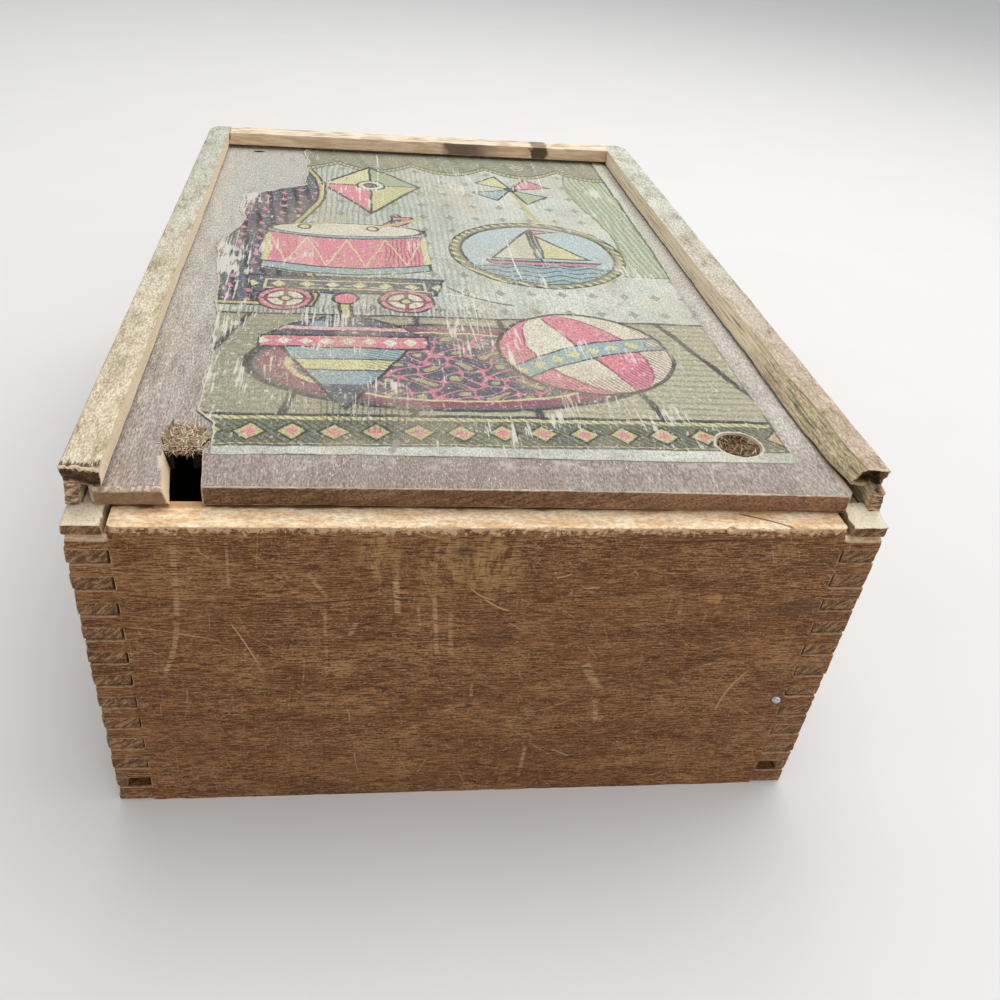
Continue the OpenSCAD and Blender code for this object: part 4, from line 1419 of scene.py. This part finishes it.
def fibre_finish():
    """Torn fibres, each of its own tone."""
    finish = Finish("fibres")
    tone = finish.read("tone")
    fleck = finish.grain((0.8, 0.8, 0.8), 2)
    # The left peg's fibres are painted paler, as light on that side
    lit_left_peg = finish.x.rise(20, -20) * 0.16
    colour = finish.ramp(
        tone * 0.8 + fleck * 0.4 - 0.1 + lit_left_peg,
        (0.15, (0.09, 0.045, 0.02)), (0.45, (0.32, 0.20, 0.11)),
        (0.75, (0.62, 0.47, 0.30)), (0.95, (0.86, 0.76, 0.58))
    )
    return finish.surface(Base_Color=colour, Roughness=0.8, Specular_IOR_Level=0.2)


def steel_finish():
    finish = Finish("steel")
    wear = finish.grain((0.6, 0.6, 0.6), 3)
    colour = finish.mixed(wear.rise(0.35, 0.6), (0.26, 0.25, 0.25), (0.62, 0.65, 0.70))
    rust = finish.y.rise(-147.4, -147.1)
    colour = finish.mixed(rust * 0.8, colour, (0.06, 0.035, 0.025))
    normal = finish.bump(wear, 0.05, 0.6)
    return finish.surface(Base_Color=colour, Metallic=0.85, Roughness=0.38 + wear * 0.2, Normal=normal)


# The inks of the print, faded by age
CRIMSON = paint(212, 132, 144)
DEEP_CRIMSON = paint(142, 84, 98)
ROSE = paint(222, 172, 172)
CREAM = paint(212, 208, 186)
YELLOW = paint(207, 201, 148)
STRAW = paint(190, 180, 124)
OLIVE = paint(132, 132, 106)
NAVY = paint(92, 92, 102)
INK = paint(52, 52, 56)
TEAL = paint(146, 171, 174)
SKY = paint(180, 198, 198)
LEAF = paint(166, 181, 148)
PALE_LEAF = paint(184, 194, 172)
BARE_PAPER = paint(220, 217, 204)


class Printing:
    """A picture laid down in inks. A shape is a distance in millimetres that is below 0 inside it."""

    def __init__(self, finish, ground):
        self.finish = finish
        self.colour = ground
        sockets = {"Vector": finish.scaled(finish.place, (0.09,) * 3), "Scale": 1.0, "Detail": 2.0}
        sway = finish.node("ShaderNodeTexNoise", None, sockets, out=1)
        settings = {"operation": "MULTIPLY_ADD"}
        sockets = {0: sway, 1: (2.2, 2.2, 0), 2: finish.place}
        self.u, self.v, _ = finish.parts(finish.node("ShaderNodeVectorMath", settings, sockets))
        self.u = self.u - 1.1
        self.v = self.v - 1.1
        self.spot = finish.vector(self.u, self.v, 1.0)
        self.cover = finish.grain((0.9, 0.9, 0.9), 2, shift=(4, 4, 4)).rise(0.28, 0.52) * 0.35 + 0.65

    def disc(self, centre, radius):
        sockets = {0: self.spot, 1: (*centre, 1)}
        away = self.finish.node("ShaderNodeVectorMath", {"operation": "DISTANCE"}, sockets, out="Value")
        return away - radius

    def polygon(self, centre, *corners):
        """A convex shape with its corners given anticlockwise round a centre."""
        spots = [(centre[0] + u, centre[1] + v) for u, v in corners]
        sides = []
        for (u1, v1), (u2, v2) in zip(spots, spots[1:] + spots[:1]):
            length = math.hypot(u2 - u1, v2 - v1)
            out_u, out_v = (v2 - v1) / length, (u1 - u2) / length
            sides.append(self.finish.level(self.spot, out_u, out_v, out_u * u1 + out_v * v1))
        return strongest(sides)

    def block(self, centre, half_w, half_h):
        return (abs(self.u - centre[0]) - half_w).over(abs(self.v - centre[1]) - half_h)

    def fill(self, shape, ink, strength=1.0):
        self.colour = self.finish.mixed(shape.rise(0.25, -0.25) * self.cover * strength, self.colour, ink)

    def outline(self, shape, width=0.42, ink=INK):
        self.colour = self.finish.mixed(abs(shape).rise(width + 0.35, width - 0.1) * 0.9, self.colour, ink)

    def hatch(self, shape, turn, pitch=1.5, ink=INK, strength=0.5):
        """Fine slanting lines inside a shape, which shade it."""
        across, up = math.cos(math.radians(turn)) / pitch, math.sin(math.radians(turn)) / pitch
        wave = self.finish.level(self.spot, across, up, 0) % 1
        lines = abs(wave - 0.5).rise(0.26, 0.12) * shape.rise(0.2, -0.4)
        self.colour = self.finish.mixed(lines * strength, self.colour, ink)

    def ink_in(self, shape, ink):
        self.fill(shape, ink)
        self.outline(shape)

    def rod(self, start, end, width, ink):
        """A straight rod or stick."""
        drawn = self.finish.stroke(self.spot, start, end, width)
        self.colour = self.finish.mixed(drawn, self.colour, ink)


def print_ball(picture, centre, radius):
    """A striped ball with a band round its middle."""
    level = picture.finish.level
    ball = picture.disc(centre, radius)
    lean = math.radians(24)
    run, rise = math.cos(lean), math.sin(lean)
    across = level(picture.spot, run, rise, run * centre[0] + rise * centre[1])
    up = level(picture.spot, -rise, run, run * centre[1] - rise * centre[0])
    width = (radius**2 - up * up).over(4.0).root()
    gores = (across / width * 5.2).sine()
    picture.fill(ball, CRIMSON)
    picture.fill(ball.over(gores * 5), CREAM)
    picture.outline((abs(gores) * 4).over(ball), 0.3, DEEP_CRIMSON)
    belt = abs(up + across * across * 0.006)
    band = belt - 4.2
    picture.fill(band.over(ball), TEAL)
    picture.outline(band.over(ball), 0.3)
    dots = level(picture.spot, run / 7, rise / 7, 0) % 1
    picture.fill((abs(dots - 0.5) * 7 + belt - 2.4).over(ball), YELLOW)
    shaded = ball.over(-picture.disc((centre[0] - 7, centre[1] + 8), radius))
    picture.hatch(shaded, 35, 1.4, DEEP_CRIMSON, 0.7)
    picture.fill(picture.disc((centre[0] - 9, centre[1] + 11), 5), CREAM, 0.45)
    picture.outline(ball, 0.55)


def print_top(picture, centre):
    """A spinning top with painted bands."""
    cone = picture.polygon(centre, (-25, 6), (-3, -27), (0, -33), (3, -27), (25, 6))
    belt = picture.block((centre[0], centre[1] + 9), 25.5, 4)
    cap = picture.polygon(centre, (-24, 13), (24, 13), (15, 22), (5, 27), (-5, 27), (-15, 22))
    stem = picture.block((centre[0], centre[1] + 33), 1.8, 7)
    knob = picture.disc((centre[0], centre[1] + 41), 4.2)
    shadow = picture.disc((centre[0] + 6, centre[1] - 31), 13)
    picture.hatch(shadow.over(picture.v - (centre[1] - 26)), 0, 1.6)
    picture.fill(cone, TEAL)
    stripe = abs(picture.v - (centre[1] - 6)) - 3.4
    picture.fill(stripe.over(cone), YELLOW)
    picture.outline(stripe.over(cone), 0.25)
    low = picture.v - (centre[1] - 18)
    picture.fill(low.over(cone), NAVY)
    picture.hatch((picture.u * -1 + centre[0] + 6).over(cone), 70, 1.5)
    picture.outline(cone)
    picture.ink_in(belt, CRIMSON)
    beads = (picture.u / 6.4) % 1
    picture.fill((abs(beads - 0.5) * 6.4 + abs(picture.v - (centre[1] + 9)) - 2.4).over(belt), CREAM)
    picture.ink_in(cap, NAVY)
    picture.fill((abs(picture.v - (centre[1] + 18)) - 1.1).over(cap), ROSE)
    picture.fill(picture.disc((centre[0] - 8, centre[1] + 20), 3).over(cap), SKY, 0.5)
    picture.ink_in(stem, STRAW)
    picture.ink_in(knob, CRIMSON)


def print_cart(picture, centre):
    """A pull-along cart with a corded drum on it."""
    cart = picture.polygon(centre, (-34, 7), (-30, -7), (30, -7), (34, 7))
    picture.hatch(picture.block((centre[0] + 4, centre[1] - 20), 42, 3.2), 0, 1.5)
    picture.ink_in(cart, NAVY)
    picture.outline(picture.block(centre, 27, 3.4), 0.35, YELLOW)
    diamonds = (picture.u / 9) % 1
    picture.fill((abs(diamonds - 0.5) * 9 + abs(picture.v - centre[1]) - 2.6).over(cart), YELLOW)
    for wheel_u in (-20, 20):
        hub = (centre[0] + wheel_u, centre[1] - 12)
        wheel = picture.disc(hub, 9)
        picture.ink_in(wheel, CRIMSON)
        picture.ink_in(picture.disc(hub, 6.2), CREAM)
        spokes = (abs(picture.u - hub[0]) - 0.7).under(abs(picture.v - hub[1]) - 0.7)
        picture.fill(spokes.over(wheel), DEEP_CRIMSON)
        picture.ink_in(picture.disc(hub, 1.9), YELLOW)
    cord = picture.finish.stroke(
        picture.spot, (centre[0] + 34, centre[1] + 2), (centre[0] + 58, centre[1] - 13), 0.75, -3
    )
    picture.colour = picture.finish.mixed(cord * 0.8, picture.colour, INK)
    drum_v = centre[1] + 30
    across = picture.u - centre[0]
    level = picture.v - drum_v + across * across * -0.006
    drum = (abs(across) - 29).over(abs(level) - 20)
    picture.fill(drum, CRIMSON)
    picture.hatch((14 - across).over(drum), 0.1, 1.5, DEEP_CRIMSON, 0.7)
    picture.fill((abs(across + 15) - 3).over(drum), ROSE, 0.6)
    zigzag = abs((across / 14.5) % 1 - 0.5) * 52 - 13
    picture.outline((level - zigzag).over(drum) * 0.5, 0.5, YELLOW)
    for rim_v in (-17.5, 17.5):
        rim = (abs(level - rim_v) - 3).over(abs(across) - 30)
        picture.ink_in(rim, TEAL)
    skin_level = (picture.v - (drum_v + 24)) * 4.2
    skin = ((across * across + skin_level * skin_level).root() - 29) * 0.5
    picture.ink_in(skin, CREAM)
    for tip in (-16, 10):
        picture.rod((centre[0] + tip, drum_v + 26), (centre[0] + tip + 20, drum_v + 40), 1.6, STRAW)
        picture.ink_in(picture.disc((centre[0] + tip, drum_v + 26), 2.4), YELLOW)


def print_boat(picture, centre):
    """A sailing boat on the waves, in a round frame."""
    frame_line = picture.disc(centre, 33)
    picture.fill(frame_line, OLIVE)
    picture.outline(frame_line, 0.5)
    inner = picture.disc(centre, 29)
    picture.fill(inner, SKY)
    picture.outline(inner)
    rope = picture.finish.level(picture.spot, 0.2, 0.2, 0) % 1
    picture.fill((abs(rope - 0.5) * 5 - 0.9).over(frame_line).over(1.5 - inner), YELLOW)
    swell = picture.v - (centre[1] - 12) - (picture.u * 0.5).sine()
    sea = swell.over(inner)
    main = picture.polygon(centre, (-18, -6), (-1, -6), (-1, 24))
    jib = picture.polygon(centre, (2, -5), (19, -5), (2, 19))
    picture.ink_in(main, CREAM)
    picture.hatch((picture.u * -1 + centre[0] - 8).over(main), 80, 1.6, OLIVE)
    picture.ink_in(jib, YELLOW)
    mast = picture.block((centre[0] + 0.4, centre[1] + 8), 0.7, 18)
    picture.fill(mast, INK)
    picture.ink_in(picture.polygon(centre, (1, 21), (10, 23.5), (1, 26)), CRIMSON)
    hull = picture.polygon(centre, (-21, -8), (-15, -16), (15, -16), (22, -8))
    picture.ink_in(hull, NAVY)
    picture.fill((abs(picture.v - (centre[1] - 10)) - 0.9).over(hull), CRIMSON)
    picture.fill(sea, TEAL)
    crests = (swell / 4.2) % 1
    picture.outline(((abs(crests - 0.5) - 0.02) * 4.2).over(sea), 0.3, NAVY)


def print_kite(picture, centre):
    """A kite of four colours with a wavy tail of bows."""
    kite = picture.polygon(centre, (0, -30), (21, 6), (0, 32), (-21, 6))
    across, up = picture.u - centre[0], picture.v - (centre[1] + 6)
    tail_way = picture.u - centre[0] - 6 - (picture.v * 0.16).sine() * 6
    tail = (abs(tail_way) - 0.4).over(abs(picture.v - (centre[1] - 45)) - 16)
    picture.fill(tail, INK)
    bows = (picture.v / 9) % 1
    bow = (abs(bows - 0.5) * 5 - 1.1 - abs(tail_way) * 0.35).over(abs(tail_way) - 4)
    bow = bow.over(abs(picture.v - (centre[1] - 46)) - 13)
    picture.ink_in(bow, CRIMSON)
    picture.fill(kite, YELLOW)
    picture.fill(kite.over(across * -1).over(up * -1), LEAF)
    picture.fill(kite.over(across).over(up), CRIMSON)
    picture.hatch(kite.over(across * -1), 45, 1.7, OLIVE)
    picture.outline((abs(across).under(abs(up)) * 1.0).over(kite), 0.4)
    picture.outline(kite, 0.6)
    boss = (centre[0], centre[1] + 6)
    picture.ink_in(picture.disc(boss, 6), CREAM)
    picture.ink_in(picture.disc(boss, 3), NAVY)


def print_pinwheel(picture, centre):
    """A pinwheel of four vanes on its stick."""
    picture.rod(centre, (centre[0] + 6, centre[1] - 44), 1.5, STRAW)
    for quarter, ink in enumerate((CRIMSON, YELLOW, TEAL, LEAF)):
        turn = math.radians(90 * quarter + 12)
        corners = [
            (u * math.cos(turn) - v * math.sin(turn), u * math.sin(turn) + v * math.cos(turn))
            for u, v in ((0, 0), (19, 1), (11, 13))
        ]
        vane = picture.polygon(centre, *corners)
        picture.ink_in(vane, ink)
    picture.ink_in(picture.disc(centre, 2.6), NAVY)


def print_hangings(picture):
    """A wall with fine lines and sprigs, a dark and a green curtain, and a valance over them."""
    u, v = picture.u, picture.v
    wall = -44 - v
    to_left = u.rise(40, -40)
    picture.fill(wall, paint(150, 156, 148), to_left * 0.45)
    picture.hatch(wall, 0, 2.3, OLIVE, to_left * 0.45 + 0.12)
    sprig_u, sprig_v = (u / 11) % 1 - 0.5, (v / 15) % 1 - 0.5
    sprig = (abs(sprig_u) * abs(sprig_v) * 60 + (abs(sprig_u) + abs(sprig_v)) * 9 - 1.9).over(wall)
    picture.fill(sprig, OLIVE, 0.75)
    folds = (((u + (v * 0.07).sine() * 2.0) / 4.4) % 1) - 0.5
    green = (66 + (v * 0.05).sine() * 4 - u).over(abs(v - 62) - 66)
    picture.fill(green, PALE_LEAF)
    picture.fill(((abs(folds) - 0.2) * 4.4).over(green), LEAF, 0.9)
    picture.hatch(green, 4, 2.2, OLIVE, 0.6)
    picture.outline(green, 0.4, OLIVE)
    dark = (u + 50 + (v * 0.06).sine() * 5).over(abs(v - 40) - 78)
    picture.fill(dark, NAVY)
    picture.hatch(dark, 6, 5.2, INK, 0.9)
    bud_u, bud_v = (u / 6.5) % 1 - 0.5, ((v + u * 0.5) / 8) % 1 - 0.5
    picture.fill(((abs(bud_u) + abs(bud_v)) * 7 - 1.5).over(dark), CRIMSON)
    picture.ink_in(abs(dark + 1.6) - 1.4, STRAW)
    arc = abs((u * 0.092 + 0.6).sine())
    swag = 122 - arc * 11 - v
    picture.fill(swag, paint(158, 160, 138))
    pleats = ((u * 0.092 + 0.6) * 6 + v * 0.14).sine()
    picture.hatch(swag, 78, 2.1, INK, 0.5)
    picture.fill((pleats * 3 + 2).over(swag), OLIVE, 0.7)
    fringe = abs(swag) - 2.0
    picture.ink_in(fringe, STRAW)
    threads = (u / 1.9) % 1
    picture.fill(((abs(threads - 0.5) - 0.2) * 1.9).over(fringe), OLIVE)


def print_floor(picture):
    """A boarded floor with a dark patterned carpet, and a band along the front of the picture."""
    u, v = picture.u, picture.v
    floor = v + 44
    picture.fill(floor, paint(176, 171, 144))
    picture.fill(floor, paint(132, 130, 110), u.rise(20, -60) * 0.6)
    picture.hatch(floor, 90, 3.4, OLIVE, 0.55)
    joints = abs(((u * 110) / (150 - v) / 15) % 1 - 0.5) * 15 - 0.15
    picture.outline(joints.over(floor), 0.3, INK)
    picture.outline(floor, 0.6)
    carpet = ((u + 4) * (u + 4) * 0.2 + (v + 77) * (v + 77)).root() - 27
    picture.fill(carpet, NAVY)
    curl = ((u * 0.62 + (v * 0.5).sine() * 1.6).sine() + (v * 0.74 + (u * 0.4).sine() * 1.4).sine()) * 1.5
    picture.outline(curl.over(carpet + 5), 0.3, CRIMSON)
    picture.fill((curl + 2.1).over(carpet + 5), STRAW, 0.8)
    picture.fill(abs(carpet + 3.2) - 1.7, DEEP_CRIMSON)
    picture.outline(carpet, 0.5)
    picture.outline(carpet + 5.4, 0.35, YELLOW)
    band = v + 107
    picture.fill(band, paint(112, 116, 94))
    picture.fill(abs(v + 108.5) - 0.9, YELLOW)
    picture.fill(abs(v + 122) - 0.9, YELLOW)
    picture.hatch(band, 45, 1.7, INK, 0.5)
    cell = (u / 11) % 1 - 0.5
    diamond = abs(cell) * 11 + abs(v + 115.3) - 4.2
    picture.ink_in(diamond, STRAW)
    picture.fill(diamond + 2.2, CRIMSON)
    picture.outline(band, 0.6)


def paper_finish():
    """The old paper and its faded print: a nursery scene of common toys, rubbed, cracked and torn."""
    finish = Finish("paper")
    clouds = finish.grain((14, 20, 14), 4, 0.3, rough=0.6)
    ground = finish.ramp(
        clouds, (0.36, paint(180, 183, 170)), (0.48, paint(197, 202, 192)), (0.62, paint(208, 210, 196))
    )
    picture = Printing(finish, ground)
    print_hangings(picture)
    print_floor(picture)
    print_kite(picture, (-26, 84))
    print_pinwheel(picture, (36, 92))
    print_boat(picture, (36, 16))
    print_cart(picture, (-36, -20))
    print_top(picture, (-36, -72))
    print_ball(picture, (38, -66), 27)
    colour = picture.colour
    border = picture.block((-8, 9), 90.5, 131)
    colour = finish.mixed(border.rise(-0.3, 0.3), colour, ground)
    colour = finish.mixed(abs(border).rise(0.75, 0.3) * 0.8, colour, INK)
    # The print has faded, mottled and yellowed unevenly
    soil = finish.grain((26, 34, 26), 4, 0.4, shift=(7, 1, 3))
    colour = finish.mixed(soil.rise(0.42, 0.64) * 0.3, colour, paint(186, 172, 146))
    mottle = finish.grain((1.1, 1.6, 1.1), 4, rough=0.7, shift=(3, 9, 2))
    colour = finish.mixed(mottle.rise(0.53, 0.72) * 0.5, colour, paint(214, 213, 202))
    colour = finish.mixed(mottle.rise(0.45, 0.32) * 0.45, colour, paint(104, 100, 90))
    colour = finish.mottled(colour, (0.4, 1.0, 0.4), 0.74, 1.24, (8, 2, 6))
    # Ink is lost in flecks and streaks along the lid's grain, most near the torn left edge
    streaks = finish.grain((1.2, 20, 1.2), 4, 0.4, rough=0.65, shift=(1, 4, 6))
    patches = finish.grain((22, 26, 22), 4, 0.6, rough=0.6, shift=(9, 5, 1))
    left = finish.x.rise(-58, -84) * 0.10
    loss = (streaks * 0.5 + patches * 0.5 + left).rise(0.565, 0.62)
    fleck = finish.grain((2.0, 3.4, 2.0), 4, rough=0.72, shift=(6, 8, 8)).rise(0.61, 0.65)
    loss = loss.over(fleck * 0.9)
    colour = finish.mixed(loss * 0.8, colour, BARE_PAPER)
    through = finish.grain((9, 15, 9), 4, 0.7, rough=0.68, shift=(2, 6, 4)).rise(0.655, 0.685)
    colour = finish.mixed(through * 0.85, colour, (0.36, 0.29, 0.24))
    # Creases and cracks show white
    cracks = strongest([
        finish.stroke(finish.on_top, start, stop, 0.42, bow) for start, stop, bow in PAPER_CREASES
    ])
    ragged = finish.grain((3, 3, 3), 3, shift=(5, 5, 1)).rise(0.40, 0.52)
    colour = finish.mixed(cracks * ragged * 0.9, colour, paint(222, 220, 210))
    rim = finish.read("rim")
    torn = (rim + (mottle - 0.5) * 1.2).rise(0.25, 0.55)
    colour = finish.mixed(torn * 0.85, colour, paint(214, 208, 190))
    colour = finish.mixed(abs(finish.face_z).rise(0.7, 0.4), colour, paint(190, 176, 150))
    fibre = finish.grain((0.9, 7, 0.9), 3, shift=(8, 3, 3))
    high = fibre * 0.5 + mottle * 0.35 + (1 - loss) * 0.3 + (1 - cracks) * 0.3
    normal = finish.bump(high, 0.1, 0.7)
    return finish.surface(
        Base_Color=colour, Roughness=0.58 + mottle * 0.16, Normal=normal, Specular_IOR_Level=0.35
    )


make_camera()
make_studio()

SIDE_WOOD = side_board_finish()
END_WOOD = end_board_finish()
TORN_WOOD = torn_finish()
FIBRES = fibre_finish()

left_shape = shape_side(-1, 101, LEFT_LIP_EDGE, LEFT_LIP_FOOT, (5.9, 4.1, 7.6), 1.1, 0.0, 0.2)
right_shape = shape_side(1, 202, RIGHT_LIP_EDGE, RIGHT_LIP_FOOT, (7.4, 8.0, 6.2), 0.25, 3.4, 1.5)
piece(
    "left_side_board", aged("left_side", 0.5, 0.3, 11, left_shape), "box", "side_wood", SIDE_WOOD,
    "left_side"
)
piece(
    "right_side_board", aged("right_side", 0.5, 0.3, 12, right_shape), "box", "side_wood", SIDE_WOOD,
    "right_side"
)
piece(
    "front_board_worn", aged("front_board", 0.4, 0.3, 13, shape_front, 0.6), "box", "end_wood", END_WOOD,
    "front_board"
)
piece(
    "back_board_worn", aged("back_board", 0.55, 0.3, 14, shape_back), "box", "end_wood", END_WOOD,
    "back_board"
)
piece(
    "bottom_board_worn", aged("bottom_board", 0.7, 0.2, 16, shape_bottom), "box", "bottom_wood",
    bottom_finish(), "bottom_board"
)
piece("lid_board", aged("lid", 0.5, 0.3, 15, shape_lid, 0.5), "lid", "lid_wood", lid_finish(), "lid")
piece("torn_print", paper_sheet(), "lid", "paper", paper_finish(), "lid_print")
left_stub = aged("left_peg_stub", 0.3, 0.6, 17, shape_stub(LEFT_PEG, 0.9, 5.5, 171), 0.6)
piece("left_peg_remains", left_stub, "lid", "torn_wood", TORN_WOOD, "left_peg_stub")
piece("left_peg_fibres", fibres(*peg_fibres(LEFT_PEG, 420, 0.9, 2.6, 171), 172), "lid", "torn_wood", FIBRES)
piece("slot_fringe", fibres(*slot_fibres(230, 173), 174), "lid", "torn_wood", FIBRES)
right_stub = aged("right_peg_stub", 0.3, 0.6, 18, shape_stub(RIGHT_PEG, -0.9, 0, 181), 0.6)
piece("right_peg_remains", right_stub, "lid", "torn_wood", TORN_WOOD, "right_peg_stub")
piece(
    "right_peg_fibres", fibres(*peg_fibres(RIGHT_PEG, 150, -0.9, 2.2, 181), 182), "lid", "torn_wood", FIBRES
)
piece("corner_nail", lathed_brad(), "box", "steel", steel_finish(), "corner_brad")
